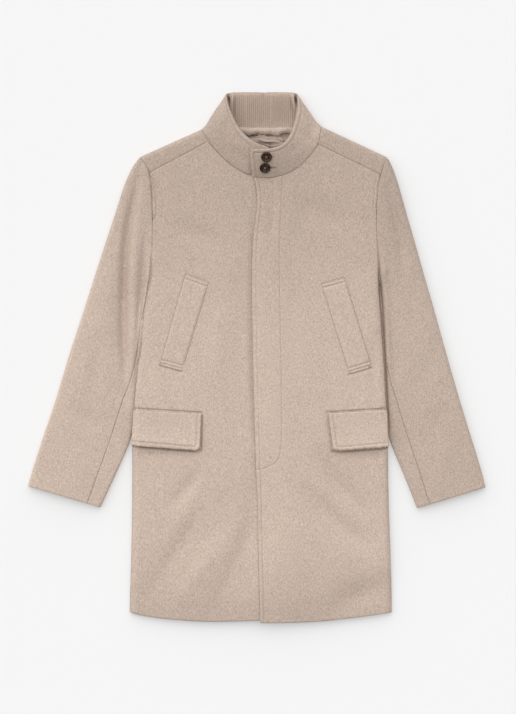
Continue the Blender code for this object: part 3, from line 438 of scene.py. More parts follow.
# Grooves that the flaps and the lower ends of the welts press into the fronts.
FLAP_DENTS = {
    "right": (
        Fold(((-0.24, -0.0962), (-0.11, -0.104), (-0.1048, -0.1045)), 0.0016, -0.0028),
        Fold(((-0.1048, -0.1045), (-0.1052, -0.11), (-0.1062, -0.17), (-0.1066, -0.1762)),
             0.002, -0.004),
        Fold(((-0.1066, -0.1762), (-0.113, -0.1768), (-0.236, -0.1665)), 0.0024, -0.005),
    ),
    "left": (
        Fold(((0.252, -0.0966), (0.14, -0.1034), (0.1344, -0.1038)), 0.0016, -0.0032),
        Fold(((0.1344, -0.1038), (0.1354, -0.109), (0.143, -0.17), (0.144, -0.1772)), 0.0044, -0.0016),
        Fold(((0.144, -0.1772), (0.15, -0.1776), (0.249, -0.1705)), 0.0026, -0.005),
    ),
}
WELT_DENTS = {
    "right": ((-0.14, -0.0275), (-0.1825, -0.014)),
    "left": ((0.1745, -0.0325), (0.217, -0.02)),
}
WELT_DENT = -0.0016
WELT_DENT_WIDTH = 0.002
FOLD_BAND = 0.014
FOLD_STEP = 0.0034
SEAM_SPREAD = 0.012
SEAM_EVEN = 0.006
SIDE_REACH = 0.002
HEM_ROLL = 0.0022
HEM_DEPTH = 0.04
HEM_TOP = -0.4
SIDE = {"right": -1.0, "left": 1.0}
SIDE_ROLL = {"right": 0.0026, "left": 0.0006}
SIDE_WIDTH = 0.0065
SIDE_TOP = 0.19
SIDE_EASE = 0.05
SIDE_MARKS = 61
EDGE_STITCH = (
    (0.0142, -0.496), (0.011, -0.385), (0.0092, -0.271), (0.0062, -0.214), (0.0022, -0.081),
    (-0.0008, 0.052), (-0.0018, 0.147), (-0.0008, 0.218), (0.0052, 0.263), (0.0092, 0.292),
    (0.0082, 0.318), (0.0015, 0.34),
)
FLY_STITCH = (
    (0.0491, 0.344), (0.048, 0.33), (0.0447, 0.2634), (0.0423, 0.1988), (0.0436, 0.1323),
    (0.0451, 0.0525), (0.0472, -0.0805), (0.0472, -0.1565), (0.044, -0.189), (0.031, -0.2035),
    (0.0117, -0.211), (0.001, -0.213),
)
ARMHOLE_STITCH = {
    "right": ((-0.1975, 0.344), (-0.1943, 0.3242), (-0.1909, 0.2995), (-0.1896, 0.2691), (-0.1958, 0.262)),
    "left": ((0.2262, 0.3405), (0.2218, 0.3052), (0.2199, 0.2729), (0.2262, 0.264)),
}
STITCH = 0.0031
STITCH_GAP = 0.0011
THREAD = 0.00034
GROOVE_DEPTH = 0.0009
GROOVE_WIDTH = 0.0013
PUFF = 0.0007
PUFF_WIDTH = 0.0028
BESIDE_STEP = 0.003
EDGE_BAND = 0.0042
ARMHOLE_BAND = 0.0034
HIGH = 0.2
THREAD_COLOUR = (0.33, 0.25, 0.2, 1.0)
THREAD_LIGHT = 1.35


def draw_to(mesh, seam, reach):
    """Draws a piece's rims to the rims it is sewn to, and the cloth behind them after."""
    rims = rim_middle(mesh)
    tree = tree_of(seam)
    pulls = np.zeros(rims.shape)
    for index, rim in enumerate(rims):
        spot, _, away = tree.find(rim)
        if away < reach:
            pulls[index] = np.array(spot) - rim
    near = tree_of(rims)
    pulled = tree_of(rims[np.any(pulls, axis=1)])
    points = points_of(mesh)
    for point in points:
        if pulled.find(point)[2] > 2 * SEAM_SPREAD:
            continue
        away = near.find(point)[2]
        round_about = near.find_range(point, away + 2 * SEAM_EVEN)
        places = [index for _, index, _ in round_about]
        weights = np.exp(-((np.array([gap for _, _, gap in round_about]) - away) / SEAM_EVEN) ** 2)
        point += weights @ pulls[places] / weights.sum() * math.exp(-(away / SEAM_SPREAD) ** 2)
    set_points(mesh, points)


def cut_for_folds(mesh, folds):
    cut_finer(mesh, [fold.route for fold in folds], FOLD_BAND, FOLD_STEP, rims=False)


def beside(route, gap):
    """The route that runs that far to the left of another."""
    line = smooth_route(route, BESIDE_STEP)
    way = np.gradient(line, axis=0)
    way /= np.linalg.norm(way, axis=1)[:, None]
    return line + gap * np.stack((-way[:, 1], way[:, 0]), axis=1)


def sew(points, rows, puffs=()):
    """The dents that rows of stitches pull into the cloth, and the puffed bands beside them."""
    height = np.zeros(len(points))
    for row in rows:
        height += route_height(points, row, GROOVE_WIDTH, -GROOVE_DEPTH)
    for puff in puffs:
        height += route_height(points, puff, PUFF_WIDTH, PUFF)
    return height


def spindles(name, placed):
    """A mesh of stitches, each a spindle; placed gives their sides, lifts and lengths, and their middles."""
    bm = bmesh.new()
    bmesh.ops.create_uvsphere(bm, u_segments=6, v_segments=5, radius=1.0)
    shape = np.array([vert.co for vert in bm.verts])
    corners = [[vert.index for vert in face.verts] for face in bm.faces]
    bm.free()
    points = [shape @ np.array(basis) + np.array(middle) for basis, middle in placed]
    faces = []
    for number in range(len(placed)):
        faces += [[number * len(shape) + corner for corner in face] for face in corners]
    mesh = bpy.data.meshes.new(name)
    mesh.from_pydata(np.vstack(points).tolist(), [], faces)
    return mesh


def surface_of(meshes):
    """The faces of some meshes, to be searched as one."""
    points = []
    faces = []
    for mesh in meshes:
        first = len(points)
        points += [vert.co for vert in mesh.vertices]
        faces += [[first + corner for corner in face.vertices] for face in mesh.polygons]
    return BVHTree.FromPolygons(points, faces)


def below(surface, x, y):
    """The spot and the normal where a plumb line first meets a surface."""
    return surface.ray_cast(Vector((x, y, HIGH)), Vector((0, 0, -1)))[:2]


def lay_bars(name, mesh, bars, thickness, material):
    """Short bars of thread that lie on a piece, each a spindle between two points."""
    surface = surface_of([mesh])
    placed = []
    for start, end in bars:
        spot, normal = below(surface, *(start + end) / 2)
        if spot is None:
            continue
        along = Vector((end[0] - start[0], end[1] - start[1], 0.0))
        half = along.length / 2
        along = (along - normal * along.dot(normal)).normalized()
        side = normal.cross(along)
        placed.append(((side * thickness, normal * thickness, along * half), spot))
    return dress(name, spindles(name, placed), material)


def stitch_rows(name, mesh, routes):
    """Rows of even stitches along the routes."""
    bars = []
    for route in routes:
        marks = smooth_route(route, STITCH + STITCH_GAP)
        gap = STITCH_GAP / (STITCH + STITCH_GAP) / 2
        for start, end in zip(marks, marks[1:]):
            bars.append((start + (end - start) * gap, end - (end - start) * gap))
    return lay_bars(name, mesh, bars, THREAD, THREAD_MATERIAL)


def thread_material(name, colour):
    """Matt spun thread with a faint twist."""
    material, tree, sockets = new_material(name, {"Roughness": 0.7})
    place = put(tree, "TexCoord").outputs["Object"]
    twist = noise(tree, place, 2500, 1)
    light = [part * THREAD_LIGHT for part in colour[:3]] + [1.0]
    mixed = put(tree, "MixRGB", {"Fac": twist, "Color1": colour, "Color2": light})
    tree.links.new(mixed.outputs[0], sockets["Base Color"])
    return material


THREAD_MATERIAL = thread_material("thread", THREAD_COLOUR)
FRONT_WOOL = melton("front_wool")


def front_relief(points):
    """The main folds of the fronts, and the hem that rolls in towards its edge."""
    hem = points[:, 1].min()
    near_hem = np.clip(1 - (points[:, 1] - hem) / HEM_DEPTH, 0.0, 1.0) if hem < HEM_TOP else 0.0
    return fold_height(points, FRONT_FOLDS) - HEM_ROLL * near_hem ** 2


def side_edge(points, side):
    """How far out a front reaches along the coat's length."""
    marks = np.linspace(points[:, 1].min(), SIDE_TOP, SIDE_MARKS)
    reach = []
    for low, high in zip(marks, marks[1:]):
        level = (points[:, 1] >= low) & (points[:, 1] <= high)
        reach.append((side * points[level, 0]).max())
    return (marks[:-1] + marks[1:]) / 2, np.array(reach)


def side_drop(points, hand):
    """How far the cloth drops where it rolls over to the side seam below the armhole."""
    away = SIDE[hand] * points[:, 0] - np.interp(points[:, 1], *side_edges[hand])
    share = np.clip((SIDE_TOP - points[:, 1]) / SIDE_EASE, 0.0, 1.0)
    return SIDE_ROLL[hand] * share * np.exp(-(away / SIDE_WIDTH) ** 2)


front_rows = {
    "left": [EDGE_STITCH, FLY_STITCH, ARMHOLE_STITCH["left"]],
    "right": [ARMHOLE_STITCH["right"]],
}
front_puffs = {
    "left": [beside(EDGE_STITCH, EDGE_BAND), beside(ARMHOLE_STITCH["left"], ARMHOLE_BAND)],
    "right": [beside(ARMHOLE_STITCH["right"], -ARMHOLE_BAND)],
}
body_rims = back_rims
covers = [back_mesh]
side_edges = {}
for hand, rows in front_rows.items():
    mesh = fine_wall(["front_" + hand], 2)
    draw_to(mesh, back_rims, SIDE_REACH)
    cut_for_folds(mesh, FRONT_FOLDS)
    cut_finer(mesh, rows + [dent.route for dent in FLAP_DENTS[hand]] + [WELT_DENTS[hand]])
    points = points_of(mesh)
    points[:, 2] += np.min([route_height(points, *dent[:3]) for dent in FLAP_DENTS[hand]], axis=0)
    points[:, 2] += route_height(points, WELT_DENTS[hand], WELT_DENT_WIDTH, WELT_DENT)
    side_edges[hand] = side_edge(points, SIDE[hand])
    points[:, 2] += front_relief(points) + sew(points, rows, front_puffs[hand]) - side_drop(points, hand)
    set_points(mesh, points)
    body_rims = np.vstack((body_rims, rim_middle(mesh)))
    soft_rims(mesh)
    covers.append(mesh)
    panel = dress("front_panel_" + hand, mesh, FRONT_WOOL, nodes=["front_" + hand])
    stitch_rows("front_stitching_" + hand, mesh, rows)

# Sleeves: set in at the armholes, each of an upper and an under piece of melton.
# They lie flat with soft drag lines below the shoulder and slip under the body's sides.
SLEEVE_TURN = {"right": 0.22, "left": -0.22}
# Painted shade: the left sleeve's wool is the melton painted darker, as the shade on that side of the coat.
SLEEVE_WOOL_AND_SHADE = {"right": WOOL, "left": (0.468, 0.374, 0.311, 1.0)}
SLEEVE_TIP = {"right": (-0.227, 0.3715), "left": (0.251, 0.3685)}
TIP_LIFT = {"right": (0.0015, 0.0065), "left": (-0.002, 0.0085)}
TIP_SPREAD = 0.02
FOLD_FLOOR = 0.003
FOLD_EASE = 0.004
UPPER_LAYER = 0.0036
ARMHOLE_LOW = 0.14
CAP_REACH = 0.006
SLEEVE_REACH = 0.004
SLEEVE_FOLDS = {
    "right": (
        Fold(((-0.22, 0.352), (-0.2423, 0.26), (-0.2505, 0.2), (-0.253, 0.11), (-0.253, 0.04),
              (-0.249, -0.03), (-0.247, -0.1)), 0.0074, -0.0104),
        Fold(((-0.218, 0.34), (-0.23, 0.24), (-0.236, 0.14), (-0.235, 0.03)), 0.0085, 0.003),
        Fold(((-0.208, 0.255), (-0.215, 0.1855), (-0.2205, 0.1095), (-0.2235, 0.043), (-0.233, -0.07)),
             0.0064, -0.0078),
        Fold(((-0.214, 0.175), (-0.223, 0.09), (-0.233, -0.01), (-0.243, -0.12)), 0.017, 0.0036),
        Fold(((-0.201, 0.21), (-0.2086, 0.115), (-0.216, 0.085), (-0.2205, 0.06), (-0.225, -0.01)),
             0.0068, 0.0078),
        Fold(((-0.28, -0.054), (-0.25, -0.074), (-0.225, -0.09)), 0.011, -0.0018),
        Fold(((-0.318, 0.05), (-0.3, -0.01), (-0.312, -0.08)), 0.015, -0.0024),
        Fold(((-0.36, -0.09), (-0.325, -0.115), (-0.3, -0.15)), 0.013, -0.0024),
        Fold(((-0.345, -0.17), (-0.335, -0.22), (-0.33, -0.265)), 0.017, 0.0018),
    ),
    "left": (
        Fold(((0.246, 0.34), (0.26, 0.285), (0.274, 0.22), (0.28, 0.14)), 0.0095, -0.0052),
        Fold(((0.254, 0.335), (0.282, 0.235)), 0.008, 0.0026),
        Fold(((0.229, 0.22), (0.2313, 0.1665), (0.2361, 0.1095), (0.238, 0.077), (0.24, 0.024),
              (0.2462, -0.08), (0.2508, -0.158)), 0.0025, -0.015),
        Fold(((0.239, 0.205), (0.2448, 0.1095), (0.2472, 0.077), (0.25, 0.01),
              (0.254, -0.09)), 0.0056, 0.0042),
        Fold(((0.284, 0.17), (0.298, 0.09), (0.3, 0.01)), 0.014, -0.0016),
        Fold(((0.35, 0.04), (0.32, -0.03), (0.29, -0.09)), 0.018, -0.0014),
        Fold(((0.37, -0.09), (0.34, -0.12), (0.31, -0.165)), 0.016, -0.0012),
        Fold(((0.36, -0.16), (0.35, -0.21), (0.345, -0.265)), 0.017, 0.0018),
    ),
}
SLEEVE_WALLS = {"upper": ("sleeve_upper_", "sleeve_fold_", "sleeve_behind_"), "under": ("sleeve_under_",)}


def top_heights(mesh, points):
    """Height of a piece's topmost face over each point."""
    surface = surface_of([mesh])
    tops = points[:, 2].copy()
    for index, (x, y) in enumerate(points[:, :2]):
        spot = below(surface, x, y)[0]
        if spot is not None:
            tops[index] = max(tops[index], spot.z)
    return tops


for hand in ("right", "left"):
    wool = melton("sleeve_wool_" + hand, wool=SLEEVE_WOOL_AND_SHADE[hand], turn=SLEEVE_TURN[hand])
    for part, walls in SLEEVE_WALLS.items():
        nodes = [wall + hand for wall in walls]
        mesh = fine_wall(nodes, 2)
        if part == "upper":
            points = points_of(mesh)
            away = np.linalg.norm(points[:, :2] - SLEEVE_TIP[hand], axis=1)
            points[:, :2] += np.exp(-(away / TIP_SPREAD) ** 2)[:, None] * TIP_LIFT[hand]
            set_points(mesh, points)
            draw_to(mesh, body_rims[body_rims[:, 1] > ARMHOLE_LOW], CAP_REACH)
            upper_rims = rim_middle(mesh)
        else:
            draw_to(mesh, upper_rims, SLEEVE_REACH)
        cut_for_folds(mesh, SLEEVE_FOLDS[hand])
        cut_finer(mesh)
        points = points_of(mesh)
        tops = top_heights(mesh, points)
        share = np.clip((tops - FOLD_FLOOR) / FOLD_EASE, 0.0, 1.0)
        deepest = np.minimum(FOLD_FLOOR - tops, 0.0)
        lift = np.maximum(fold_height(points, SLEEVE_FOLDS[hand]) * share, deepest)
        points[:, 2] += np.where(points[:, 2] > tops - UPPER_LAYER, lift, 0.0)
        set_points(mesh, points)
        soft_rims(mesh)
        covers.append(mesh)
        piece = dress("sleeve_" + part + "_piece_" + hand, mesh, wool, nodes=nodes)

# Collar: a stand of melton, doubled and stitched through along its top and its tab's end.
# It is sewn to the neck seam and buttons over at the front.
# The collar's wool is the melton painted a little darker, as shade, and painted lighter towards the wearer's
# left and darker towards the right to even out the lamp's side light.
SHADED_COLLAR_WOOL = melton("collar_wool_shaded", wool=(0.5, 0.397, 0.329, 1.0), painted_side_light=0.8)
COLLAR_STITCH = (
    ((0.0, 0.342), (-0.0048, 0.38), (-0.0056, 0.3862), (0.0006, 0.3864), (0.0185, 0.386),
     (0.0451, 0.3907), (0.0632, 0.404), (0.0723, 0.4202), (0.0808, 0.4468), (0.0856, 0.4648),
     (0.084, 0.4933)),
    ((-0.063, 0.499), (-0.0604, 0.4857), (-0.0547, 0.462), (-0.048, 0.4448), (-0.0383, 0.4253),
     (-0.0252, 0.4106), (-0.0148, 0.4021)),
)
COLLAR_FOLDS = (
    Fold(((0.08, 0.432), (0.092, 0.422), (0.11, 0.402)), 0.006, -0.0018),
    Fold(((0.098, 0.448), (0.105, 0.43), (0.116, 0.415)), 0.005, -0.0016),
    Fold(((-0.062, 0.47), (-0.07, 0.44), (-0.066, 0.415)), 0.008, 0.0014),
    Fold(((-0.05, 0.4), (-0.03, 0.38), (-0.012, 0.372)), 0.007, -0.0012),
    Fold(((0.055, 0.385), (0.072, 0.392), (0.088, 0.404)), 0.0065, -0.0012),
)
NECK_LOW = 0.33
NECK_REACH = 0.007
OUTER_FACE = 0.3


def outward(mesh, height):
    """Lifts a mesh along its normals where they look up."""
    normals = np.empty(len(mesh.vertices) * 3)
    mesh.vertex_normals.foreach_get("vector", normals)
    normals = normals.reshape(-1, 3)
    share = np.clip(normals[:, 2] / OUTER_FACE, 0.0, 1.0)
    set_points(mesh, points_of(mesh) + normals * (height * share)[:, None])


collar_mesh = fine_wall(["collar_stand"], 2)
draw_to(collar_mesh, body_rims[body_rims[:, 1] > NECK_LOW], NECK_REACH)
cut_for_folds(collar_mesh, COLLAR_FOLDS)
cut_finer(collar_mesh, COLLAR_STITCH)
points = points_of(collar_mesh)
collar_puffs = [beside(row, EDGE_BAND) for row in COLLAR_STITCH]
outward(collar_mesh, fold_height(points, COLLAR_FOLDS) + sew(points, COLLAR_STITCH, collar_puffs))
soft_rims(collar_mesh)
covers.append(collar_mesh)
collar = dress("collar", collar_mesh, SHADED_COLLAR_WOOL, nodes=["collar_stand"])
stitch_rows("collar_stitching", collar_mesh, COLLAR_STITCH)

# Inner collar: a band of ribbed wool knit that stands inside the collar.
# Its ribs are rounded wales with narrow valleys; its own colour is a little darker than the melton, and its
# valleys hold painted shade.
RIB_WOOL = (0.49, 0.381, 0.314, 1.0)
RIB_SHARPEN = 1.7
RIB_SMOOTHING = 14
RIB_DEPTH = 0.0006
ROLL_LIGHT = 0.0026
RECESS_SHADE = 0.0014
RIB_MIDDLE = 0.011
RIB_STRAIGHT = 0.062
RIB_FREE = 0.092
RIB_LOW = 0.455
RIB_FOOT = 0.01
RIB_RISE = 0.008
BACK_RIB_TOP = 0.47
BACK_RIB_LEVEL = 0.02
ROLLS = (
    Fold(((-0.0437, 0.504), (-0.0462, 0.489), (-0.0497, 0.474)), 0.0019, 0.0026),
    Fold(((0.066, 0.504), (0.07, 0.487), (0.0745, 0.468)), 0.0019, 0.0026),
    Fold(((-0.0205, 0.506), (-0.0205, 0.434)), 0.0011, 0.0008),
    Fold(((0.0272, 0.506), (0.0272, 0.434)), 0.0011, 0.0008),
)
RECESSES = (
    Fold(((-0.054, 0.506), (-0.0528, 0.493), (-0.052, 0.476)), 0.0024, -0.003),
    Fold(((-0.0412, 0.502), (-0.042, 0.48), (-0.0428, 0.45)), 0.0018, -0.0016),
    Fold(((0.0725, 0.506), (0.0748, 0.488), (0.0772, 0.468)), 0.0026, -0.003),
    Fold(((0.063, 0.5), (0.0655, 0.48), (0.07, 0.456)), 0.0018, -0.0012),
)


def knit_material(name, colour):
    """Soft ribbed knit: fine loops in the ribs, with painted shade in the valleys and recesses and painted
    light on the rolled ribs.
    """
    material = melton(name, wool=colour, streak=0.55, fleck=0.55)
    tree = material.node_tree
    base = tree.nodes["Principled BSDF"].inputs["Base Color"]
    painted_shade = put(tree, "Attribute", attribute_name="painted_shade").outputs["Fac"]
    shade = ramp(tree, painted_shade, (-1.0, 3.0), (1.4, 0.1))
    tinted = put(tree, "VectorMath", {0: base.links[0].from_socket, "Scale": shade}, operation="SCALE")
    tree.links.new(tinted.outputs[0], base)
    return material


def column_top(vert):
    """The upper end of the rib column that a corner of the wall belongs to."""
    while True:
        higher = [edge.other_vert(vert) for edge in vert.link_edges]
        higher = [other for other in higher if other.co.y > vert.co.y + RIB_RISE]
        if not higher:
            return vert
        vert = max(higher, key=lambda other: other.co.y)


def smoothed(bm, rounds):
    """The places of a mesh's corners after some rounds of smoothing."""
    for _ in range(rounds):
        bmesh.ops.smooth_vert(
            bm, verts=bm.verts[:], factor=0.5, use_axis_x=True, use_axis_y=True, use_axis_z=True)
    return np.array([vert.co for vert in bm.verts])


bm = quad_wall("collar_rib")
straight = {}
for vert in bm.verts:
    top = column_top(vert)
    if top.co.y > BACK_RIB_TOP and top.co.z < BACK_RIB_LEVEL:
        share = np.clip((RIB_FREE - abs(top.co.x - RIB_MIDDLE)) / (RIB_FREE - RIB_STRAIGHT), 0.0, 1.0)
        foot = RIB_FOOT * share if vert.co.y < RIB_LOW else 0.0
        straight[vert] = (vert.co.x + (top.co.x - vert.co.x) * share, vert.co.y - foot)
for vert, place in straight.items():
    vert.co.xy = place
bmesh.ops.subdivide_edges(bm, edges=bm.edges[:], cuts=3, use_grid_fill=True)
ribbed = smoothed(bm, 1)
plain = smoothed(bm, RIB_SMOOTHING)
bm.normal_update()
normals = np.array([vert.normal for vert in bm.verts])
rib_mesh = closed(bm, "rib_knit")
relief = np.einsum("ij,ij->i", ribbed - plain, normals)
points = plain + normals * (RIB_SHARPEN * relief)[:, None]
rolled = fold_height(points, ROLLS)
sunk = fold_height(points, RECESSES)
points[:, 2] += rolled + sunk
set_points(rib_mesh, points)
# Painted shade and light: the valleys between the ribs and the recesses beside the rib are painted darker,
# and the rolled ribs lighter.
painted_shade = rib_mesh.attributes.new("painted_shade", "FLOAT", "POINT")
shade_in_valleys = np.clip(0.5 - relief / RIB_DEPTH, 0.0, 1.0)
painted_shade.data.foreach_set("value", shade_in_valleys - rolled / ROLL_LIGHT - sunk / RECESS_SHADE)
rib_knit = knit_material("rib_wool", RIB_WOOL)
rib = dress("rib_knit", rib_mesh, rib_knit, nodes=["collar_rib"])

# Neck facing: a rounded band of melton that covers the rib's sewn edge at the back neck.
# Its lower edge is loose and runs in small uneven waves over the lining.
FACING_WOOL = (0.557, 0.445, 0.369, 1.0)
Wave = namedtuple("Wave", "size turns start")
FACING_WAVES = (Wave(0.0015, 122.0, 0.4), Wave(0.0011, 235.0, 1.9), Wave(0.0004, 560.0, 0.8))
WAVE_RISE = 0.6
WAVE_LAG = 1.1
facing_mesh = fine_wall(["neck_facing"], 3)
points = points_of(facing_mesh)
loose = (points[:, 1].max() - points[:, 1]) / np.ptp(points[:, 1])
for wave in FACING_WAVES:
    turn = wave.turns * points[:, 0] + wave.start
    points[:, 1] += wave.size * loose * np.sin(turn)
    points[:, 2] += WAVE_RISE * wave.size * np.sin(turn + WAVE_LAG)
set_points(facing_mesh, points)
facing = dress("facing_band", facing_mesh, melton("facing_wool", wool=FACING_WOOL), nodes=["neck_facing"])

# Lining: smooth woven cloth that lies in small folds inside the neck.
# The folds are pressed together by the collar, so they are short and cross each other.
LINING_WOOL = (0.483, 0.384, 0.318, 1.0)
LINING_FOLDS = (
    Fold(((-0.045, 0.4215), (-0.02, 0.4195), (0.006, 0.4215)), 0.002, -0.004),
    Fold(((0.012, 0.4205), (0.036, 0.4185), (0.066, 0.4215)), 0.002, -0.0044),
    Fold(((-0.036, 0.414), (-0.022, 0.411), (-0.004, 0.414)), 0.0024, 0.0036),
    Fold(((-0.018, 0.42), (-0.002, 0.416), (0.016, 0.4175)), 0.0016, -0.0024),
    Fold(((-0.002, 0.417), (0.016, 0.4085), (0.04, 0.412)), 0.0021, 0.0042),
    Fold(((0.012, 0.421), (0.026, 0.415), (0.046, 0.417)), 0.0017, 0.0034),
    Fold(((-0.034, 0.41), (-0.01, 0.404), (0.01, 0.406)), 0.002, -0.003),
    Fold(((0.008, 0.406), (0.028, 0.399), (0.052, 0.405)), 0.0021, 0.0036),
    Fold(((0.034, 0.415), (0.05, 0.407), (0.068, 0.41)), 0.0017, -0.003),
    Fold(((-0.022, 0.399), (0.004, 0.395), (0.028, 0.396)), 0.0026, 0.0026),
    Fold(((0.042, 0.421), (0.05, 0.412), (0.054, 0.398)), 0.0018, 0.0036),
    Fold(((0.02, 0.413), (0.026, 0.405), (0.024, 0.396)), 0.0015, -0.0026),
    Fold(((-0.026, 0.421), (-0.03, 0.411), (-0.026, 0.4)), 0.0018, 0.0026),
)
LINING_TUCK = 0.012
TUCK_START = 0.41
TUCK_RUN = 0.0105
lining_mesh = fine_wall(["neck_lining"], 3)
points = points_of(lining_mesh)
points[:, 1] += LINING_TUCK * np.clip((points[:, 1] - TUCK_START) / TUCK_RUN, 0.0, 1.0) ** 2
points[:, 2] += fold_height(points, LINING_FOLDS)
set_points(lining_mesh, points)
weave = melton("lining_weave", wool=LINING_WOOL, streak=0.25, fleck=0.25)
lining = dress("lining_cloth", lining_mesh, weave, nodes=["neck_lining"])

# Chest welts: slanted strips of doubled melton that stand over the pocket mouths.
# They are sewn into the fronts along their length and stitched down by two rows at each end.
WELT_ENDS = {
    "right": (
        (((-0.093, 0.1405), (-0.1335, 0.156)), ((-0.095, 0.1345), (-0.135, 0.15))),
        (((-0.1405, -0.0215), (-0.1815, -0.0105)), ((-0.139, -0.0155), (-0.18, -0.0045))),
    ),
    "left": (
        (((0.1235, 0.1385), (0.165, 0.1495)), ((0.1255, 0.1325), (0.1668, 0.1435))),
        (((0.1755, -0.0265), (0.2155, -0.0145)), ((0.1737, -0.0205), (0.214, -0.0085))),
    ),
}
WELT_TURN = {"right": 0.28, "left": -0.28}
WELT_DIP = 0.0011
WELT_DIP_WIDTH = 0.0026
WELT_SINK = 0.0014
WELT_PULL = 1.6
for hand, ends in WELT_ENDS.items():
    node = "welt_" + hand
    mesh = fine_wall([node], 2)
    rows = [row for end in ends for row in end]
    cut_for_folds(mesh, FRONT_FOLDS)
    cut_finer(mesh, rows)
    points = points_of(mesh)
    points[:, 2] += front_relief(points) + WELT_PULL * sew(points, rows) - WELT_SINK
    set_points(mesh, points)
    soft_rims(mesh, WELT_DIP, WELT_DIP_WIDTH)
    wool = melton("welt_wool_" + hand, turn=WELT_TURN[hand])
    welt = dress("welt_strip_" + hand, mesh, wool, nodes=[node])
    stitch_rows("welt_stitching_" + hand, mesh, rows)

# Hip flaps: doubled melton that hangs over the hip pockets and reaches round to the side seams.
# Each is sewn to its front along the top, and stitched through near the other edges.
FLAP_STITCH = {
    "right": ((-0.1122, -0.108), (-0.114, -0.158), (-0.115, -0.168), (-0.125, -0.1682),
              (-0.17, -0.164), (-0.235, -0.1585)),
    "left": ((0.1445, -0.1075), (0.151, -0.159), (0.1525, -0.1695), (0.162, -0.169), (0.19, -0.1665),
             (0.248, -0.161)),
}
FLAP_EDGE = {
    "right": ((-0.2352, -0.1641), (-0.1079, -0.1746)),
    "left": ((0.1449, -0.1755), (0.2503, -0.1679)),
}
FLAP_INNER = {
    "right": ((-0.1079, -0.1746), (-0.105, -0.106)),
    "left": ((0.1449, -0.1755), (0.1355, -0.105)),
}
FLAP_LIFT = 0.0034
FLAP_SIDE_LIFT = 0.0018
FLAP_SIDE_DEPTH = 0.02
FLAP_LIFT_DEPTH = 0.045
FLAP_WAVE = 0.0007
FLAP_WAVE_DEPTH = 0.006
FLAP_WAVE_TURNS = 590
FLAP_SWAY = 1.4
FLAP_SWAY_TURNS = 230
for hand, row in FLAP_STITCH.items():
    node = "flap_" + hand
    mesh = fine_wall([node], 2)
    cut_finer(mesh, [row])
    points = points_of(mesh)
    points[:, 2] += front_relief(points) + sew(points, [row], [beside(row, -EDGE_BAND)])
    points[:, 2] -= side_drop(points, hand)
    edge = np.array(FLAP_EDGE[hand])
    low_edge = np.interp(points[:, 0], edge[:, 0], edge[:, 1])
    near_edge = np.exp(-((points[:, 1] - low_edge) / FLAP_WAVE_DEPTH) ** 2)
    low = np.clip(1 - (points[:, 1] - low_edge) / FLAP_LIFT_DEPTH, 0.0, 1.0)
    inner_edge = np.interp(points[:, 1], *np.array(FLAP_INNER[hand]).T[::-1])
    inner = np.clip(1 - abs(points[:, 0] - inner_edge) / FLAP_SIDE_DEPTH, 0.0, 1.0)
    points[:, 2] += FLAP_LIFT * low ** 2 + FLAP_SIDE_LIFT * inner ** 2
    sway = FLAP_SWAY * np.sin(FLAP_SWAY_TURNS * points[:, 0])
    points[:, 1] += FLAP_WAVE * near_edge * np.sin(FLAP_WAVE_TURNS * points[:, 0] + sway)
    set_points(mesh, points)
    soft_rims(mesh)
    flap = dress("flap_cloth_" + hand, mesh, melton("flap_wool_" + hand), nodes=[node])
    stitch_rows("flap_stitching_" + hand, mesh, [row])

# Buttons: two dark turned buttons of horn-look resin with a raised rim and four holes.
# They are sewn to the collar tab with crossed thread, and their buttonholes show beside them.
HORN_DARK = (0.009, 0.0045, 0.003, 1.0)
HORN_LIGHT = (0.1, 0.054, 0.031, 1.0)
BUTTON_PROFILE = (
    (0.0, 0.0026), (0.005, 0.0026), (0.0064, 0.0028), (0.0073, 0.0035), (0.008, 0.004), (0.0088, 0.0041),
    (0.0096, 0.0037), (0.0101, 0.003), (0.0103, 0.0021), (0.01, 0.0011), (0.009, 0.0003), (0.0, 0.0002),
)
HOLE = 0.00085
HOLE_SPOT = 0.0017
DRILL_LEVEL = 0.002
DRILL_LENGTH = 0.008
STRAND = (0.00034, 0.0005, 0.003)
STRAND_SHIFT = 0.00032
STRAND_LEVEL = 0.0029
POLISHED = {"Roughness": 0.28, "Specular IOR Level": 0.18, "Coat Weight": 0.08, "Coat Roughness": 0.12}
BUTTON_THREAD = (0.23, 0.15, 0.1, 1.0)
BUTTONHOLES = {
    "upper": ((0.0095, 0.379), (0.0308, 0.3792)),
    "lower": ((0.015, 0.3592), (0.0366, 0.3596)),
}
BAR_STEP = 0.0007
BAR_SPAN = (0.0004, 0.0021)
BAR_THREAD = 0.00042
END_SPAN = (0.0003, 0.002)
END_TURNS = np.linspace(-1.4, 1.4, 7)
SLIT_WIDTH = 0.00045


def horn_material():
    """Polished dark resin with lighter drawn-out streaks."""
    material, tree, sockets = new_material("horn", POLISHED)
    place = put(tree, "TexCoord").outputs["Object"]
    drawn = put(tree, "Mapping", {"Vector": place, "Rotation": (0, 0, 0.7), "Scale": (1.0, 0.25, 1.0)})
    streak = noise(tree, drawn.outputs[0], 420, 4, Distortion=0.6)
    share = ramp(tree, streak, (0.42, 0.68))
    colour = put(tree, "MixRGB", {"Fac": share, "Color1": HORN_DARK, "Color2": HORN_LIGHT})
    tree.links.new(colour.outputs[0], sockets["Base Color"])
    return material


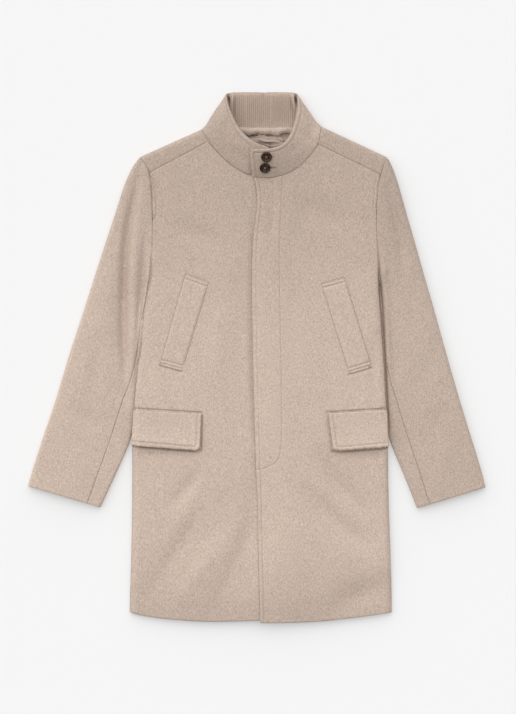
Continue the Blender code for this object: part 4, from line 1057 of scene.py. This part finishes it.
def turned_button():
    """A button turned about the Z axis, with its holes cut."""
    bm = bmesh.new()
    corners = [bm.verts.new((radius, 0.0, height)) for radius, height in BUTTON_PROFILE]
    edges = [bm.edges.new(pair) for pair in zip(corners, corners[1:])]
    bmesh.ops.spin(
        bm, geom=corners + edges, cent=(0, 0, 0), axis=(0, 0, 1), angle=math.tau, steps=48, use_merge=True)
    bmesh.ops.remove_doubles(bm, verts=bm.verts[:], dist=MERGE)
    bmesh.ops.recalc_face_normals(bm, faces=bm.faces[:])
    disc = into_scene("button_disc", closed(bm, "button"))
    bm = bmesh.new()
    for x, y in ((1, 1), (1, -1), (-1, 1), (-1, -1)):
        place = Matrix.Translation((x * HOLE_SPOT, y * HOLE_SPOT, DRILL_LEVEL))
        bmesh.ops.create_cone(
            bm, cap_ends=True, segments=16, radius1=HOLE, radius2=HOLE, depth=DRILL_LENGTH, matrix=place)
    drill = into_scene("drill", closed(bm, "drill"))
    cut = disc.modifiers.new("holes", "BOOLEAN")
    cut.object = drill
    made = evaluated(disc)
    bpy.data.objects.remove(drill)
    return made


def crossed_thread():
    """Four strands of thread that cross over the middle of a button."""
    width, height, reach = STRAND
    placed = []
    for turn in (0.25 * math.pi, 0.75 * math.pi):
        along = np.array((math.cos(turn), math.sin(turn), 0.0))
        side = np.array((-along[1], along[0], 0.0))
        for shift in (-STRAND_SHIFT, STRAND_SHIFT):
            basis = (side * width, (0, 0, height), along * reach)
            placed.append((basis, side * shift + (0, 0, STRAND_LEVEL)))
    return spindles("button_thread", placed)


def seat_of(node):
    """Place and lean of a CAD button: its foot's middle, with Z along its axis."""
    cad = points_of(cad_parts[node].data)
    middle = Vector(cad.mean(axis=0))
    up = Vector(np.linalg.svd(cad - cad.mean(axis=0))[2][2])
    up = up if up.z > 0 else -up
    foot = middle + up * ((cad @ np.array(up)).min() - middle.dot(up))
    return Matrix.Translation(foot) @ Vector((0, 0, 1)).rotation_difference(up).to_matrix().to_4x4()


HORN = horn_material()
SEWING = thread_material("button_thread", BUTTON_THREAD)
# Painted shade: a dark bar lies in each buttonhole's slit as the shade in its opening.
SLIT_SHADE = thread_material("slit_shade", (0.06, 0.042, 0.032, 1.0))
for place in ("upper", "lower"):
    seat = seat_of("button_" + place)
    disc = turned_button()
    disc.transform(seat)
    dress("button_disc_" + place, disc, HORN, nodes=["button_" + place])
    strands = crossed_thread()
    strands.transform(seat)
    dress("button_thread_" + place, strands, SEWING)
    start, end = (np.array(spot) for spot in BUTTONHOLES[place])
    way = (end - start) / np.linalg.norm(end - start)
    side = np.array((-way[1], way[0]))
    bars = []
    for mark in np.arange(0.0, np.linalg.norm(end - start), BAR_STEP):
        foot = start + way * mark
        for sign in (1, -1):
            bars.append([foot + side * sign * reach for reach in BAR_SPAN])
    for turn in END_TURNS:
        ray = way * math.cos(turn) + side * math.sin(turn)
        bars.append([end + ray * reach for reach in END_SPAN])
        bars.append([start - ray * reach for reach in END_SPAN])
    lay_bars("buttonhole_" + place, collar_mesh, bars, BAR_THREAD, THREAD_MATERIAL)
    # The dark bar of painted shade in the slit.
    lay_bars("buttonhole_slit_shade_" + place, collar_mesh, [(start, end)], SLIT_WIDTH, SLIT_SHADE)

# Seam allowances: strips of the same melton, pressed open inside along the sewn seams.
# They close the seams from within and show only as the dark line between two pieces.
Seam = namedtuple("Seam", "route rank sink", defaults=(2, 0.001))
SEAMS = (
    Seam(((-0.2247, 0.3736), (-0.2162, 0.3622), (-0.2053, 0.3478), (-0.2017, 0.3234), (-0.1981, 0.2995),
          (-0.1968, 0.2691), (-0.1975, 0.2435), (-0.1991, 0.1855), (-0.201, 0.14))),
    Seam(((0.2475, 0.3728), (0.2355, 0.3455), (0.2323, 0.3318), (0.2288, 0.3052), (0.2275, 0.2716),
          (0.2266, 0.2435), (0.2285, 0.1893), (0.2323, 0.14))),
    Seam(((-0.0974, 0.4268), (-0.0921, 0.4141), (-0.0795, 0.3888), (-0.059, 0.3685), (-0.037, 0.3542),
          (-0.0077, 0.344)), rank=3),
    Seam(((0.0056, 0.3394), (0.0261, 0.3432), (0.0497, 0.3462), (0.0734, 0.3542), (0.097, 0.373),
          (0.1112, 0.3936), (0.1175, 0.4109), (0.1202, 0.4268)), rank=3),
    Seam(((-0.0902, 0.407), (-0.2004, 0.35))),
    Seam(((0.1154, 0.4048), (0.162, 0.3789), (0.2102, 0.3584), (0.2328, 0.3455))),
    Seam(((-0.1998, 0.21), (-0.2028, 0.157), (-0.209, 0.118), (-0.2168, 0.078), (-0.2215, 0.035)),
         sink=0.0002),
    Seam(((0.2318, 0.15), (0.2362, 0.1), (0.2385, 0.07), (0.2415, 0.02), (0.2445, -0.04),
          (0.2468, -0.09), (0.2484, -0.12)), rank=5, sink=0.0004),
    Seam(((-0.229, 0.0), (-0.275, -0.138), (-0.319, -0.27))),
    Seam(((0.252, -0.003), (0.2885, -0.135), (0.3255, -0.269))),
)
ALLOWANCE = 0.0052
ALLOWANCE_THICK = 0.0003
ALLOWANCE_STEP = 0.004
ALLOWANCE_TRACKS = 5
FEEL = 0.002
outside = surface_of(covers)


def under_cloth(x, y, rank, sink):
    """Height just inside the cloth round a place: the rank counts from the highest spot found."""
    round_about = ((x, y), (x + FEEL, y), (x - FEEL, y), (x, y + FEEL), (x, y - FEEL))
    spots = [below(outside, *place)[0] for place in round_about]
    heights = sorted(spot.z for spot in spots if spot is not None)
    return max(heights[-min(rank, len(heights))] - sink, 2 * ALLOWANCE_THICK)


bm = bmesh.new()
for seam in SEAMS:
    steps = len(smooth_route(seam.route, ALLOWANCE_STEP))
    rings = []
    tracks = []
    for gap in np.linspace(ALLOWANCE, -ALLOWANCE, ALLOWANCE_TRACKS):
        track = beside(seam.route, gap)
        tracks.append(track[np.linspace(0, len(track) - 1, steps).round().astype(int)])
    for spots in zip(*tracks):
        places = [Vector((x, y, under_cloth(x, y, seam.rank, seam.sink))) for x, y in spots]
        thick = Vector((0, 0, ALLOWANCE_THICK))
        rings.append([bm.verts.new(place) for place in places])
        rings[-1] += [bm.verts.new(place - thick) for place in reversed(places)]
    for before, after in zip(rings, rings[1:]):
        for corner in range(len(before)):
            follow = (corner + 1) % len(before)
            bm.faces.new((before[corner], before[follow], after[follow], after[corner]))
    bm.faces.new(rings[0])
    bm.faces.new(rings[-1])
bmesh.ops.recalc_face_normals(bm, faces=bm.faces[:])
# The allowances take the yoke's wool, with its painted shade.
allowance_wool = melton("allowance_wool", wool=SHADED_YOKE_WOOL)
allowances = dress("seam_allowances", closed(bm, "seam_allowances"), allowance_wool)

# Table, light and camera: a plain pale table with a faint glow, so that shadows on it stay light.
# A broad soft lamp stands beyond the collar, a little to the wearer's right, under an even white sky.
# The camera hangs over the middle of the coat and looks straight down.
PIXEL = 0.0019
VIEW_LENGTH = 714 * PIXEL
VIEW_MIDDLE = (0.00235, 0.0012)
VIEW_HEIGHT = 6.0
TABLE_HALF = 6.0
PAPER = {
    "Base Color": (0.6, 0.6, 0.6, 1.0), "Roughness": 0.9, "Specular IOR Level": 0.1,
    "Emission Color": (1.0, 1.0, 1.0, 1.0), "Emission Strength": 0.275,
}
LAMP_ENERGY = 3.4
LAMP_SPREAD = math.radians(130)
LAMP_WAY = (0.38, -0.82, -0.62)
SKY = {"Color": (1.0, 1.0, 1.0, 1.0), "Strength": 0.4}

bm = bmesh.new()
bmesh.ops.create_grid(bm, x_segments=1, y_segments=1, size=TABLE_HALF)
floor = into_scene("floor", closed(bm, "floor"))
floor.data.materials.append(new_material("paper", PAPER)[0])

lamp = bpy.data.lights.new("key", "SUN")
lamp.energy = LAMP_ENERGY
lamp.angle = LAMP_SPREAD
into_scene("key", lamp).rotation_euler = Vector(LAMP_WAY).to_track_quat("-Z", "Y").to_euler()

world = bpy.data.worlds.new("studio")
world.use_nodes = True
for socket, value in SKY.items():
    world.node_tree.nodes["Background"].inputs[socket].default_value = value
bpy.context.scene.world = world

lens = bpy.data.cameras.new("camera")
lens.sensor_width = 36.0
lens.lens = lens.sensor_width * VIEW_HEIGHT / VIEW_LENGTH
camera = into_scene("camera", lens)
camera.location = (*VIEW_MIDDLE, VIEW_HEIGHT)
bpy.context.scene.camera = camera
bpy.context.scene.view_settings.view_transform = "Standard"
